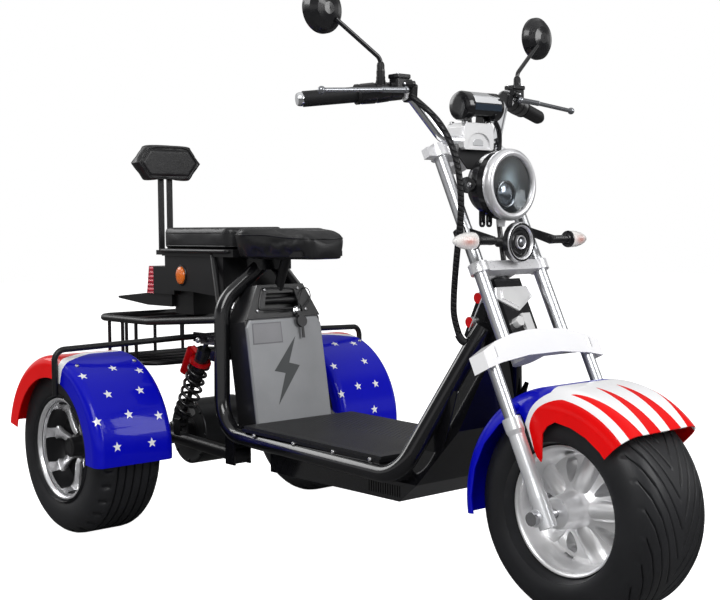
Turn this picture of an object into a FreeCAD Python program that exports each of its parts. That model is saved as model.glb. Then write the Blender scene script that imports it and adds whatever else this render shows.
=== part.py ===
import FreeCAD, Part
import math
import os

import Sketcher
from FreeCAD import Placement, Rotation, Vector

# Fat-tyre electric trike with one steered front wheel and two rear wheels.
# Millimetres. +X is forward, +Y is the rider's left, +Z is up.
# The origin lies on the ground under the middle of the vehicle's length and width.
# Lengthwise places are measured forward from the rear axle.

SIZES = {
    # overall layout
    "wheelbase": 1382, "tail_reach": 462, "cut_overrun": 4, "fit_gap": 0.3,
    # tyres and rims
    "tyre_radius": 228.5, "bead_radius": 127, "flange_radius": 135.5, "flange_width": 6, "rim_wall": 5,
    "front_tyre_width": 228, "rear_tyre_width": 190, "bead_rise": 10, "sidewall_rise": 25,
    "front_shoulder_radius": 62, "rear_shoulder_radius": 44, "sidewall_radius": 24, "front_rim_width": 168,
    "rear_rim_width": 176, "rear_track": 790, "web_thickness": 9, "front_hub_radius": 38,
    "front_hub_width": 226, "front_spoke_count": 5, "front_spoke_width": 46, "front_spoke_rise": 17,
    "front_web_set_in": 62, "front_web_dish": 26, "front_window_start": 56, "front_window_end": 103,
    "front_window_root": 12, "front_window_tip": 34, "rear_hub_radius": 40, "rear_hub_width": 128,
    "rear_spoke_count": 8, "rear_spoke_width": 22, "rear_spoke_rise": 9, "rear_web_set_in": 66,
    "rear_web_dish": 6, "rear_window_start": 54, "rear_window_end": 112, "rear_window_root": 16,
    "rear_window_tip": 48, "axle_fit": 0.05, "disc_radius": 80, "disc_inner_radius": 44,
    "disc_thickness": 3, "disc_side": 119, "disc_holes": 10, "disc_hole_radius": 5, "disc_hole_reach": 66,
    "caliper_along": 62, "caliper_height": 58, "caliper_width": 34, "caliper_gap": 5, "caliper_back": 44,
    "front_axle_radius": 8, "rear_axle_radius": 15, "axle_nut_radius": 14, "axle_nut_width": 12,
    # fork and steering head, measured along and ahead of the fork line
    "rake_angle": 25.5, "leg_lead": 8, "leg_half_spacing": 154, "tube_half_spacing": 96, "axis_setback": 45,
    "slider_radius": 17, "slider_length": 232, "slider_foot": 26, "slider_boot_radius": 19,
    "slider_boot_height": 62, "slider_taper": 40, "axle_boss_radius": 18, "collar_radius": 20,
    "collar_height": 26, "stanchion_radius": 13.5, "upper_tube_radius": 15, "yoke_height": 334,
    "yoke_thickness": 22, "yoke_end_reach": 18, "yoke_depth": 32, "head_tube_length": 171,
    "clamp_thickness": 22, "clamp_end_reach": 22, "top_clamp_height": 806, "stem_radius": 15,
    "head_tube_radius": 27, "head_gap": 0.5, "stem_boss_radius": 30, "cover_half_width": 187,
    "cover_end_low": 312, "cover_end_high": 350, "cover_middle_low": 331, "cover_middle_high": 387,
    "cover_front": 25, "cover_depth": 44, "cover_wall": 3, "cover_clearance": 5, "cap_radius": 17,
    "cap_height": 9, "pinch_length": 26, "pinch_width": 20, "steering_limit": 35,
    # frame rails
    "rail_radius": 21, "rail_top_forward": 285, "rail_top_side": 28, "rail_top_up": 708,
    "rail_shoulder_forward": 258, "rail_shoulder_side": 138, "rail_shoulder_up": 612,
    "rail_heel_forward": 290, "rail_heel_side": 165, "rail_heel_height": 270, "rail_toe_forward": 1000,
    "rail_toe_side": 190, "rail_toe_up": 257, "rail_neck_forward": 1124, "rail_neck_side": 46,
    "rail_neck_up": 588, "shoulder_bend": 100, "heel_bend": 100, "toe_bend": 80, "cross_tube_radius": 14,
    "cross_rear_forward": 258, "cross_rear_up": 470, "seat_plate_length": 70, "seat_post_radius": 13,
    "seat_post_lean": 43, "bracket_wall": 5,
    # neck
    "neck_half_width": 42, "neck_low": 392, "neck_top_drop": 8, "neck_front": 28, "neck_top_back": 14,
    "neck_back_reach": 108, "neck_back_up": 444, "neck_heel_reach": 92, "neck_heel_up": 404,
    "neck_toe_reach": 40, "shield_half_width": 57, "shield_drop": 21, "shield_shoulder_drop": 26,
    "shield_height": 57, "shield_wall": 4, "reflector_radius": 12, "reflector_depth": 10, "lock_radius": 11,
    "lock_length": 16, "lock_up": 415, "lock_side": 22, "strap_width": 26, "strap_height": 44,
    # deck and belly
    "deck_start": 412, "deck_end": 935, "deck_half_width": 188, "deck_thickness": 8, "mat_thickness": 6,
    "belly_start": 480, "belly_floor": 190, "belly_half_width": 150, "belly_toe": 960,
    "belly_nose_forward": 1016, "belly_nose_up": 235, "belly_brow_forward": 1096, "belly_brow_height": 360,
    "belly_crown_forward": 1128, "belly_crown_up": 520, "belly_back_up": 247, "belly_wall_depth": 52,
    "belly_top_half_width": 26, "belly_corner": 60, "grille_slot": 3, "grille_pitch": 8, "grille_count": 14,
    "grille_depth": 5, "grille_height": 26, "grille_up": 200,
    # battery box
    "battery_lean": 9.7, "battery_front_forward": 397, "battery_bottom_up": 290, "battery_half_width": 126,
    "battery_shoulder": 279, "battery_height": 373, "battery_top_half_width": 77, "battery_depth": 78,
    "battery_panel_thickness": 8, "panel_top": 284, "panel_shoulder": 262, "panel_top_half_width": 113,
    "recess_half_width": 66, "recess_top_half_width": 50, "recess_low": 296, "recess_high": 350,
    "recess_depth": 34, "handle_up": 332, "handle_radius": 9, "battery_lock_side": 44,
    "battery_lock_up": 300, "battery_lock_radius": 9, "battery_lock_length": 7, "key_ring_radius": 9,
    "key_ring_wire": 1.2, "fob_radius": 16, "fob_depth": 8, "fob_drop": 30, "key_length": 38,
    "key_width": 8, "key_thickness": 2.4,
    # seats and backrest
    "driver_rear": 262, "driver_nose": 545, "driver_half_width": 140, "driver_nose_half_width": 62,
    "driver_bottom": 748, "driver_top": 808, "driver_wide_forward": 330, "passenger_rear": -107,
    "passenger_front": 246, "passenger_half_width": 105, "passenger_bottom": 752, "passenger_top": 812,
    "seat_corner": 34, "seat_edge": 18, "pan_thickness": 14, "pan_inset": 8, "box_half_width": 90,
    "box_rear": -95, "hanger_height": 82, "box_floor_forward": 30, "box_front": 198, "box_front_drop": 12,
    "strut_radius": 9, "strut_top_forward": 150, "post_forward": -228, "post_half_spacing": 15,
    "post_width": 17, "post_thickness": 8, "post_top": 985, "pad_forward": -199, "pad_thickness": 46,
    "pad_up": 1005, "pad_half_height": 56, "pad_half_width": 118, "pad_point_run": 42,
    "tail_plate_half_width": 28, "tail_plate_rear": -240,
    # tail
    "lamp_half_width": 60, "lamp_top": 698, "lamp_bottom": 617, "lens_rear": -252, "lens_front": -207,
    "side_lamp_forward": -8, "side_lamp_up": 676, "side_lamp_radius": 31, "side_lamp_depth": 12,
    "lens_slant": 14, "lens_corner": 10, "tongue_half_width": 52, "tongue_floor": 580, "tongue_tip_up": 598,
    "hanger_front": -25, "hanger_rear": -120, "hanger_half_width": 40,
    # rack
    "rack_rear": -300, "rack_front": -5, "rack_half_width": 200, "rack_drop": 202, "rack_depth": 120,
    "rack_tube_radius": 10, "rack_bar_radius": 6, "rack_rod_radius": 5, "rack_corner": 60,
    "rack_root_forward": 262, "rack_root_side": 146, "rack_root_up": 566, "rack_seat_forward": -72,
    # rear fenders and their stays
    "fender_radius": 250, "fender_wall": 3, "fender_outer_side": 516, "fender_inner_side": 285,
    "fender_lip": 58, "fender_front_angle": -4, "fender_rear_angle": 168, "fender_inner_lip": 36,
    "fender_edge": 24, "stay_radius": 8, "stay_mid_forward": 120, "stay_mid_side": 170, "stay_mid_up": 512,
    "stay_forward": 55, "stay_up": 497, "stay_foot_up": 380, "stay_bend": 28,
    # front fender
    "front_fender_radius": 256, "front_fender_half_width": 131, "front_fender_front_angle": 44,
    "front_fender_rear_angle": 189, "front_fender_edge": 46, "front_lip_radius": 190,
    "tongue_tip_radius": 107, "tongue_tip_angle": 102, "tongue_start_angle": 86, "leg_angle": 112,
    "back_lip_radius": 217,
    # swing arm, axle and shocks
    "arm_side": 150, "arm_radius": 18, "pivot_forward": 340, "pivot_up": 212, "pivot_bush_radius": 20,
    "pivot_bush_width": 44, "axle_tube_radius": 28, "axle_tube_half": 284, "motor_radius": 92,
    "motor_half_width": 78, "shock_side": 150, "shock_top_forward": 207, "shock_top_up": 512,
    "shock_foot_forward": 68, "shock_foot_up": 268, "shock_eye_radius": 13, "shock_eye_width": 22,
    "shock_rod_radius": 7, "shock_body_radius": 19, "spring_radius": 25, "spring_wire": 4.5,
    "spring_turns": 6, "spring_seat": 7, "reservoir_offset": 48, "reservoir_tank_radius": 16,
    # handlebar and controls
    "bar_radius": 11, "bar_end_set_back": 119.3, "bar_end_side": 378, "bar_end_rise": 102.7,
    "bar_bend_set_back": 32.8, "bar_bend_side": 160, "bar_bend_rise": 127.7, "bar_foot_lead": 7.2,
    "bar_foot_side": 84, "bar_foot_rise": 18.7, "bar_bend": 42, "grip_radius": 17, "grip_length": 126,
    "switch_radius": 21, "switch_length": 74, "riser_width": 96, "riser_length": 56, "riser_height": 60,
    "riser_chamfer": 12, "grip_flange": 22, "grip_flange_width": 7, "bar_cap_radius": 15,
    "bar_cap_length": 14, "perch_radius": 16, "perch_width": 18, "lever_radius": 5,
    "lever_ball_radius": 8.5, "lever_pivot_ahead": 36, "lever_tip_lead": 88.5, "lever_tip_reach": 22,
    "lever_tip_rise": 10, "lever_bend_share": 0.3, "reservoir_length": 52, "reservoir_width": 34,
    "reservoir_height": 26, "reservoir_corner": 5, "mirror_radius": 51.5, "mirror_depth": 26,
    "mirror_lead": 24.5, "mirror_side": 344, "mirror_rise": 189, "mirror_stem_radius": 5,
    "mirror_base_side": 220, "mirror_base_drop": 4, "mirror_base_set_back": 15, "mirror_stem_rise": 69,
    "mirror_bend": 22, "mirror_rim": 3, "mirror_knuckle_radius": 9, "mirror_knuckle_height": 46,
    "meter_length": 62, "meter_width": 118, "meter_height": 40, "meter_corner": 17, "meter_edge": 8,
    "meter_lead": 24, "meter_rise": 48.7, "meter_foot_length": 24, "meter_foot_width": 50,
    "lamp_bracket_rise": 47, "lamp_bracket_height": 66, "lamp_tab_side": 100, "lamp_tab_reach": 54,
    "lamp_tab_height": 28, "ear_side": 87, "ear_height": 36, "ear_set_back": 18, "ear_bolt_radius": 5,
    "headlamp_radius": 78.5, "headlamp_ahead": 79.3, "headlamp_rise": 177.1, "headlamp_depth": 92,
    "bezel_depth": 22, "bezel_lip": 4, "bezel_width": 17, "horn_ring": 4, "headlamp_back_radius": 40,
    "horn_radius": 43.5, "horn_ahead": 62.4, "horn_rise": 46.6, "horn_depth": 34, "horn_boss_radius": 11,
    "signal_ahead": 69.1, "signal_rise": 49, "signal_radius": 20, "signal_length": 66,
    "signal_base_length": 12, "signal_stalk_radius": 8, "signal_stalk_length": 32, "signal_ring_count": 5,
    # wiring harness
    "harness_radius": 7,
    "harness_forward_1": 1018.3, "harness_side_1": -162, "harness_up_1": 1093.3,
    "harness_forward_2": 1060, "harness_side_2": -148, "harness_up_2": 1060,
    "harness_forward_3": 1096, "harness_side_3": -136, "harness_up_3": 1017,
    "harness_forward_4": 1127, "harness_side_4": -129, "harness_up_4": 950,
    "harness_forward_5": 1137, "harness_side_5": -126, "harness_up_5": 855,
    "harness_forward_6": 1113, "harness_side_6": -118, "harness_up_6": 754,
    "harness_forward_7": 1086, "harness_side_7": -102, "harness_up_7": 655,
    "harness_forward_8": 1078, "harness_side_8": -93, "harness_up_8": 602,
    "harness_forward_9": 1091, "harness_side_9": -84, "harness_up_9": 560,
}

doc = FreeCAD.newDocument("Trike")
sheet = doc.addObject("Spreadsheet::Sheet", "Sizes")
for row, (alias, number) in enumerate(SIZES.items(), start=1):
    sheet.set(f"A{row}", alias)
    sheet.set(f"B{row}", str(number))
    sheet.setAlias(f"B{row}", alias)
doc.recompute()


class Measure:
    """A value together with the sheet expression that gives it."""

    def __init__(self, value, text):
        self.value = float(value)
        self.text = text

    def __add__(self, other):
        other = measure(other)
        return Measure(self.value + other.value, f"({self.text} + {other.text})")

    def __sub__(self, other):
        other = measure(other)
        return Measure(self.value - other.value, f"({self.text} - {other.text})")

    def __mul__(self, other):
        other = measure(other)
        return Measure(self.value * other.value, f"({self.text} * {other.text})")

    def __truediv__(self, other):
        other = measure(other)
        return Measure(self.value / other.value, f"({self.text} / {other.text})")

    def __neg__(self):
        return Measure(-self.value, f"(0 - {self.text})")

    def __rmul__(self, other):
        return measure(other) * self

    def __float__(self):
        return self.value


def measure(item):
    return item if isinstance(item, Measure) else Measure(item, repr(float(item)))


class Dimensions:
    """Gives each size of the sheet by its name."""

    def __getattr__(self, name):
        return Measure(sheet.get(name), f"Sizes.{name}")


d = Dimensions()
nodes = {}


# General helpers

def bind(thing, prop, amount):
    amount = measure(amount)
    thing.setExpression(prop, amount.text)


def place(thing, x=0, y=0, z=0):
    bind(thing, "Placement.Base.x", x)
    bind(thing, "Placement.Base.y", y)
    bind(thing, "Placement.Base.z", z)


def node(name, thing):
    thing.Label = name
    nodes[name] = thing
    return thing


def vector(point):
    return Vector(*[float(measure(part)) for part in point])


def box(name, x, y, z, length, width, height):
    """Box from its lowest corner."""
    solid = doc.addObject("Part::Box", name)
    bind(solid, "Length", length)
    bind(solid, "Width", width)
    bind(solid, "Height", height)
    place(solid, x, y, z)
    return solid


def cylinder(name, base, direction, radius, height):
    """Cylinder from the middle of its base along a direction."""
    solid = doc.addObject("Part::Cylinder", name)
    bind(solid, "Radius", radius)
    bind(solid, "Height", height)
    solid.Placement = Placement(Vector(), Rotation(Vector(0, 0, 1), direction))
    place(solid, *base)
    return solid


def rod(name, start, end, radius):
    """Round rod from one point to another."""
    line = vector(end) - vector(start)
    return cylinder(name, start, line, radius, line.Length)


def pipe_wire(points, bends):
    """Straight runs with a tangent arc at each inner point."""
    corners = [vector(point) for point in points]
    edges = []
    here = corners[0]
    for corner, after, bend in zip(corners[1:], corners[2:], bends):
        before = (here - corner).normalize()
        beyond = (after - corner).normalize()
        half = before.getAngle(beyond) / 2
        reach = float(measure(bend)) / math.tan(half)
        middle = float(measure(bend)) / math.sin(half) - float(measure(bend))
        start = corner + before * reach
        finish = corner + beyond * reach
        top = corner + (before + beyond).normalize() * middle
        edges.append(Part.LineSegment(here, start).toShape())
        edges.append(Part.Arc(start, top, finish).toShape())
        here = finish
    edges.append(Part.LineSegment(here, corners[-1]).toShape())
    return Part.Wire(edges)


def pipe(name, points, bends, radius):
    """Bent round bar."""
    path = doc.addObject("Part::Feature", name + "_path")
    path.Shape = pipe_wire(points, bends)
    first, second = vector(points[0]), vector(points[1])
    section = doc.addObject("Part::Circle", name + "_section")
    bind(section, "Radius", radius)
    section.Placement = Placement(first, Rotation(Vector(0, 0, 1), second - first))
    sweep = doc.addObject("Part::Sweep", name)
    sweep.Sections = [section]
    sweep.Spine = (path, [])
    sweep.Solid = True
    return sweep


def ring_pipe(name, points, bend, radius):
    """Closed bent bar through the middles of its first and last runs."""
    corners = [vector(point) for point in points]
    middle = (corners[0] + corners[-1]) * 0.5
    run = [tuple(middle)] + [tuple(corner) for corner in corners] + [tuple(middle)]
    return pipe(name, run, [bend] * len(corners), radius)


def fused(name, pieces):
    solid = doc.addObject("Part::MultiFuse", name)
    solid.Shapes = pieces
    return solid


def cut(name, base, *tools):
    solid = doc.addObject("Part::Cut", name)
    solid.Base = base
    solid.Tool = tools[0] if len(tools) == 1 else fused(name + "_tools", list(tools))
    return solid


def common(name, pieces):
    solid = doc.addObject("Part::MultiCommon", name)
    solid.Shapes = pieces
    return solid


def mirrored(name, source):
    """The same piece on the other side of the middle plane."""
    solid = doc.addObject("Part::Mirroring", name)
    solid.Source = source
    solid.Normal = Vector(0, 1, 0)
    return solid


def both_sides(name, source):
    return fused(name, [source, mirrored(name + "_mirror", source)])


def new_body(name):
    return doc.addObject("PartDesign::Body", name)


def sketch(body, name, plane, outlines):
    """Closed outlines on one of the body's own planes, each corner tied to the sheet."""
    drawing = body.newObject("Sketcher::SketchObject", name)
    own = [plan for plan in body.Origin.OriginFeatures if plan.Role == plane][0]
    drawing.AttachmentSupport = [(own, "")]
    drawing.MapMode = "FlatFace"
    for outline in outlines:
        first = drawing.GeometryCount
        corners = [(measure(across), measure(up)) for across, up in outline]
        count = len(corners)
        for index, corner in enumerate(corners):
            after = corners[(index + 1) % count]
            line = Part.LineSegment(Vector(corner[0].value, corner[1].value, 0),
                                    Vector(after[0].value, after[1].value, 0))
            drawing.addGeometry(line, False)
        for index in range(count):
            drawing.addConstraint(Sketcher.Constraint(
                "Coincident", first + index, 2, first + (index + 1) % count, 1))
        for index, corner in enumerate(corners):
            for kind, amount in zip(("DistanceX", "DistanceY"), corner):
                number = drawing.addConstraint(Sketcher.Constraint(
                    kind, -1, 1, first + index, 1, amount.value))
                drawing.setExpression(f"Constraints[{number}]", amount.text)
    return drawing


def circle_sketch(body, name, plane, radius, across=0, up=0):
    """One circle on one of the body's own planes."""
    drawing = body.newObject("Sketcher::SketchObject", name)
    own = [plan for plan in body.Origin.OriginFeatures if plan.Role == plane][0]
    drawing.AttachmentSupport = [(own, "")]
    drawing.MapMode = "FlatFace"
    radius, across, up = measure(radius), measure(across), measure(up)
    drawing.addGeometry(Part.Circle(Vector(across.value, up.value, 0), Vector(0, 0, 1), radius.value), False)
    number = drawing.addConstraint(Sketcher.Constraint("Radius", 0, radius.value))
    drawing.setExpression(f"Constraints[{number}]", radius.text)
    for kind, amount in (("DistanceX", across), ("DistanceY", up)):
        number = drawing.addConstraint(Sketcher.Constraint(kind, -1, 1, 0, 3, amount.value))
        drawing.setExpression(f"Constraints[{number}]", amount.text)
    return drawing


def pad(body, drawing, length, midplane=True, reverse=False):
    feature = body.newObject("PartDesign::Pad", drawing.Name + "_pad")
    feature.Profile = drawing
    bind(feature, "Length", length)
    feature.Midplane = midplane
    feature.Reversed = reverse
    return feature


def pocket(body, drawing, length, midplane=True, reverse=False):
    feature = body.newObject("PartDesign::Pocket", drawing.Name + "_pocket")
    feature.Profile = drawing
    bind(feature, "Length", length)
    feature.Midplane = midplane
    feature.Reversed = reverse
    return feature


def revolution(body, drawing, axis, angle=None):
    feature = body.newObject("PartDesign::Revolution", drawing.Name + "_turned")
    feature.Profile = drawing
    feature.ReferenceAxis = (drawing, [axis])
    if angle is None:
        feature.Angle = 360
    else:
        bind(feature, "Angle", angle)
    return feature


def round_edges(body, base, radius, chosen):
    """Rounds the edges of a feature that the chooser picks."""
    doc.recompute()
    names = [f"Edge{index}" for index, edge in enumerate(base.Shape.Edges, start=1) if chosen(edge)]
    feature = body.newObject("PartDesign::Fillet", base.Name + "_rounded")
    feature.Base = (base, names)
    bind(feature, "Radius", radius)
    return feature


def upright_edge(edge):
    box_of = edge.BoundBox
    return box_of.XLength + box_of.YLength < box_of.ZLength * 0.01


def turned_piece(name, outline, forward=0, side=0, up=0):
    """Solid of revolution about a crosswise axis; the outline is in side and radius."""
    body = new_body(name)
    drawing = sketch(body, name + "_outline", "YZ_Plane", [outline])
    revolution(body, drawing, "H_Axis")
    place(body, forward, side, up)
    return body


def facing_piece(name, outline, forward=0, side=0, up=0):
    """Solid of revolution about a lengthwise axis; the outline is in depth and radius."""
    body = new_body(name)
    drawing = sketch(body, name + "_outline", "XZ_Plane", [outline])
    revolution(body, drawing, "H_Axis")
    place(body, forward, side, up)
    return body


# Shared places

rear_axle = -(d.wheelbase + d.tyre_radius - d.tail_reach) / 2
front_axle = rear_axle + d.wheelbase
axle_up = d.tyre_radius
rake = math.radians(float(d.rake_angle))
rake_sine = Measure(math.sin(rake), "sin(Sizes.rake_angle * 1 deg)")
rake_cosine = Measure(math.cos(rake), "cos(Sizes.rake_angle * 1 deg)")


def at(forward, side, up):
    """A place by its distance ahead of the rear axle, to the left and above the ground."""
    return (rear_axle + forward, measure(side), measure(up))


def on_fork(along, side, ahead):
    """A place by its distance up the fork line, to the left and ahead of the front axle."""
    along, ahead = measure(along), measure(ahead)
    forward = front_axle - rake_sine * along + rake_cosine * ahead
    return (forward, measure(side), axle_up + rake_cosine * along + rake_sine * ahead)


def on_fork_frame(thing, along=0, side=0, ahead=0):
    """Leans a piece drawn upright back to the fork line."""
    bind(thing, "Placement.Rotation.Angle", -d.rake_angle)
    thing.Placement = Placement(Vector(), Rotation(Vector(0, 1, 0), -float(d.rake_angle)))
    place(thing, *on_fork(along, side, ahead))
    return thing


def fork_cylinder(name, along, side, ahead, radius, height):
    solid = doc.addObject("Part::Cylinder", name)
    bind(solid, "Radius", radius)
    bind(solid, "Height", height)
    return on_fork_frame(solid, along, side, ahead)


axis_ahead = d.leg_lead - d.axis_setback
head_bottom = d.yoke_height + d.yoke_thickness + d.head_gap
clamp_along = head_bottom + d.head_tube_length + d.head_gap
rack_top = d.passenger_bottom - d.rack_drop
box_floor = rack_top + d.hanger_height


# Wheels

def tyre(name, width, rim_width, shoulder_radius, forward, side):
    """Fat tyre: flat tread, round shoulders and a sidewall that comes in to the bead."""
    half = width / 2
    bead_half = rim_width / 2 - d.flange_width
    low = d.bead_radius + d.bead_rise
    outline = [
        (-bead_half, d.bead_radius), (bead_half, d.bead_radius), (bead_half, low),
        (half, low + d.sidewall_rise), (half, d.tyre_radius), (-half, d.tyre_radius),
        (-half, low + d.sidewall_rise), (-bead_half, low),
    ]
    body = turned_piece(name, outline, forward, side, axle_up)
    doc.recompute()
    crown = float(d.tyre_radius)
    side_radius = float(low + d.sidewall_rise)

    def shoulder(edge):
        return hasattr(edge.Curve, "Radius") and abs(edge.Curve.Radius - crown) < crown * 1e-4

    def sidewall(edge):
        return hasattr(edge.Curve, "Radius") and abs(edge.Curve.Radius - side_radius) < crown * 1e-4

    rounded = round_edges(body, body.Tip, shoulder_radius, shoulder)
    body.Tip = rounded
    softened = round_edges(body, rounded, d.sidewall_radius, sidewall)
    body.Tip = softened
    return node(name, body)


def around(body, name, features, count):
    """Repeats features evenly around the wheel axis."""
    pattern = body.newObject("PartDesign::PolarPattern", name)
    pattern.Originals = features
    pattern.Axis = ([line for line in body.Origin.OriginFeatures if line.Role == "Y_Axis"][0], [""])
    pattern.Angle = 360
    bind(pattern, "Occurrences", count)
    body.Tip = pattern
    return pattern


def rim(name, kind, width, axle_radius, forward, side, outward):
    """Cast wheel: barrel with two flanges, hub, and a dished web with windows and raised spokes."""
    size = {part: getattr(d, f"{kind}_{part}") for part in (
        "hub_radius", "hub_width", "spoke_count", "spoke_width", "spoke_rise", "web_set_in", "web_dish",
        "window_start", "window_end", "window_root", "window_tip")}
    half = width / 2
    seat = half - d.flange_width
    inner = d.bead_radius - d.rim_wall
    body = new_body(name)
    barrel = sketch(body, name + "_barrel", "YZ_Plane", [[
        (-half, inner), (half, inner), (half, d.flange_radius), (seat, d.flange_radius),
        (seat, d.bead_radius), (-seat, d.bead_radius), (-seat, d.flange_radius),
        (-half, d.flange_radius),
    ]])
    revolution(body, barrel, "H_Axis")
    root = outward * (half - size["web_set_in"] + size["web_dish"])
    edge = outward * (half - size["web_set_in"])
    back = outward * d.web_thickness
    web = sketch(body, name + "_web", "YZ_Plane", [[
        (root, size["hub_radius"] - d.rim_wall), (edge, inner + d.rim_wall / 2),
        (edge - back, inner + d.rim_wall / 2), (root - back, size["hub_radius"] - d.rim_wall),
    ]])
    revolution(body, web, "H_Axis")
    turn = math.pi / float(size["spoke_count"])
    corners = [
        (size["window_start"], -size["window_root"] / 2), (size["window_end"], -size["window_tip"] / 2),
        (size["window_end"], size["window_tip"] / 2), (size["window_start"], size["window_root"] / 2),
    ]
    window = sketch(body, name + "_window", "XZ_Plane", [[
        (reach * math.cos(turn) - across * math.sin(turn), reach * math.sin(turn) + across * math.cos(turn))
        for reach, across in corners
    ]])
    opening = pocket(body, window, width * 2)
    around(body, name + "_windows", [opening], size["spoke_count"])
    front = size["spoke_rise"] * outward
    spoke = sketch(body, name + "_spoke", "XY_Plane", [[
        (size["hub_radius"] - d.rim_wall, root - back), (inner + d.rim_wall / 2, edge - back),
        (inner + d.rim_wall / 2, edge), (inner - front * outward, edge + front),
        (size["hub_radius"] - d.rim_wall, root + front),
    ]])
    arm = pad(body, spoke, size["spoke_width"])
    around(body, name + "_spokes", [arm], size["spoke_count"])
    hub_half = size["hub_width"] / 2
    hub = sketch(body, name + "_hub", "YZ_Plane", [[
        (-hub_half, axle_radius + d.axle_fit), (hub_half, axle_radius + d.axle_fit),
        (hub_half, size["hub_radius"] * 0.62), (hub_half * 0.72, size["hub_radius"]),
        (-hub_half * 0.72, size["hub_radius"]), (-hub_half, size["hub_radius"] * 0.62),
    ]])
    revolution(body, hub, "H_Axis")
    bore = circle_sketch(body, name + "_bore", "XZ_Plane", axle_radius + d.axle_fit)
    pocket(body, bore, width * 2)
    place(body, forward, side, axle_up)
    return node(name, body)


tyre("front_tyre", d.front_tyre_width, d.front_rim_width, d.front_shoulder_radius, front_axle, 0)
rim("front_rim", "front", d.front_rim_width, d.front_axle_radius, front_axle, 0, -1)
for hand, outward in (("right", -1), ("left", 1)):
    wheel_side = d.rear_track / 2 * outward
    tyre(f"rear_tyre_{hand}", d.rear_tyre_width, d.rear_rim_width, d.rear_shoulder_radius, rear_axle, wheel_side)
    rim(f"rear_rim_{hand}", "rear", d.rear_rim_width, d.rear_axle_radius, rear_axle, wheel_side, outward)


# Frame rails

rail_points = [
    at(d.rail_top_forward, d.rail_top_side, d.rail_top_up),
    at(d.rail_shoulder_forward, d.rail_shoulder_side, d.rail_shoulder_up),
    at(d.rail_heel_forward, d.rail_heel_side, d.rail_heel_height),
    at(d.rail_toe_forward, d.rail_toe_side, d.rail_toe_up),
    at(d.rail_neck_forward, d.rail_neck_side, d.rail_neck_up),
]
rail_bends = [d.shoulder_bend, d.heel_bend, d.toe_bend]
left_rail = node("frame_left_rail", pipe("left_rail", rail_points, rail_bends, d.rail_radius))
right_rail = node("frame_right_rail", mirrored("right_rail", left_rail))


# Frame cross tubes

def cross_tube(name, forward, up):
    half = d.rail_toe_side
    return cylinder(name, at(forward, -half, up), Vector(0, 1, 0), d.cross_tube_radius, half * 2)


rear_cross = cross_tube("rear_cross", d.cross_rear_forward, d.cross_rear_up)
toe_cross = cross_tube("toe_cross", d.rail_toe_forward - d.rail_radius, d.rail_toe_up)
heel_cross = cross_tube("heel_cross", d.pivot_forward + d.heel_bend / 2, d.rail_heel_height)
seat_plate = box("seat_plate", rear_axle + d.rail_top_forward - d.seat_plate_length / 2,
                 -d.rail_top_side - d.rail_radius, d.rail_top_up - d.rail_radius / 2,
                 d.seat_plate_length, (d.rail_top_side + d.rail_radius) * 2,
                 d.driver_bottom - d.pan_thickness - d.rail_top_up + d.rail_radius / 2)
cross_bars = cut("cross_bars", fused("cross_tubes", [rear_cross, toe_cross, heel_cross, seat_plate]),
                 left_rail, right_rail)


def longest_middle(name, source):
    """Keeps the parts of a cut tube that lie between the rails."""
    middle = box(name + "_between", rear_axle, -d.rail_toe_side + d.rail_radius, 0,
                 d.wheelbase, (d.rail_toe_side - d.rail_radius) * 2, d.driver_top)
    return common(name, [source, middle])


cross_tubes = longest_middle("frame_cross", cross_bars)


# Steering head of the frame

neck_high = clamp_along - d.neck_top_drop
neck_body = new_body("neck_body")
neck_sketch = sketch(neck_body, "neck_side", "XZ_Plane", [[
    (d.neck_front, d.neck_low), (d.neck_front, neck_high), (-d.neck_top_back, neck_high),
    (-d.neck_back_reach, d.neck_back_up), (-d.neck_heel_reach, d.neck_heel_up), (-d.neck_toe_reach, d.neck_low),
]])
pad(neck_body, neck_sketch, d.neck_half_width * 2)
on_fork_frame(neck_body, 0, 0, axis_ahead)
head_outer = fork_cylinder("head_outer", head_bottom, 0, axis_ahead, d.head_tube_radius, d.head_tube_length)
head_bore = fork_cylinder("head_bore", head_bottom - d.cut_overrun, 0, axis_ahead,
                          d.stem_radius + d.axle_fit, d.head_tube_length + d.cut_overrun * 2)
head = cut("head_bored", fused("head_solid", [neck_body, head_outer]), head_bore, left_rail, right_rail)
node("frame_neck", head)


# Shield, lock and reflectors on the steering head

shield_body = new_body("shield")
shield_top = neck_high - d.shield_drop
shield_point = shield_top - d.shield_height
shield_shoulder = shield_top - d.shield_shoulder_drop
shield_top_share, shield_raised_share = 0.86, 0.72
shield_outline = [
    (-d.shield_half_width, shield_shoulder), (0, shield_point), (d.shield_half_width, shield_shoulder),
    (d.shield_half_width * shield_top_share, shield_top), (-d.shield_half_width * shield_top_share, shield_top),
]
shield_sketch = sketch(shield_body, "shield_outline", "YZ_Plane", [shield_outline])
pad(shield_body, shield_sketch, d.shield_wall, midplane=False)
shield_middle = (shield_top + shield_point) / 2
raised = sketch(shield_body, "shield_raised", "YZ_Plane", [[
    (across * shield_raised_share, shield_middle + (up - shield_middle) * shield_raised_share)
    for across, up in shield_outline
]])
pad(shield_body, raised, d.shield_wall * 2, midplane=False)
on_fork_frame(shield_body, 0, 0, axis_ahead + d.neck_front)
strap = box("neck_strap", 0, 0, 0, d.shield_wall, d.strap_width, d.strap_height)
on_fork_frame(strap, d.neck_low, d.shield_wall, axis_ahead + d.neck_front)
neck_lock = cylinder("neck_lock", on_fork(d.lock_up, -d.lock_side, axis_ahead + d.neck_front),
                     Vector(math.cos(rake), 0, math.sin(rake)), d.lock_radius, d.lock_length)
node("neck_shield", fused("neck_shield_whole", [shield_body, strap, neck_lock]))
reflector_pieces = []
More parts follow.
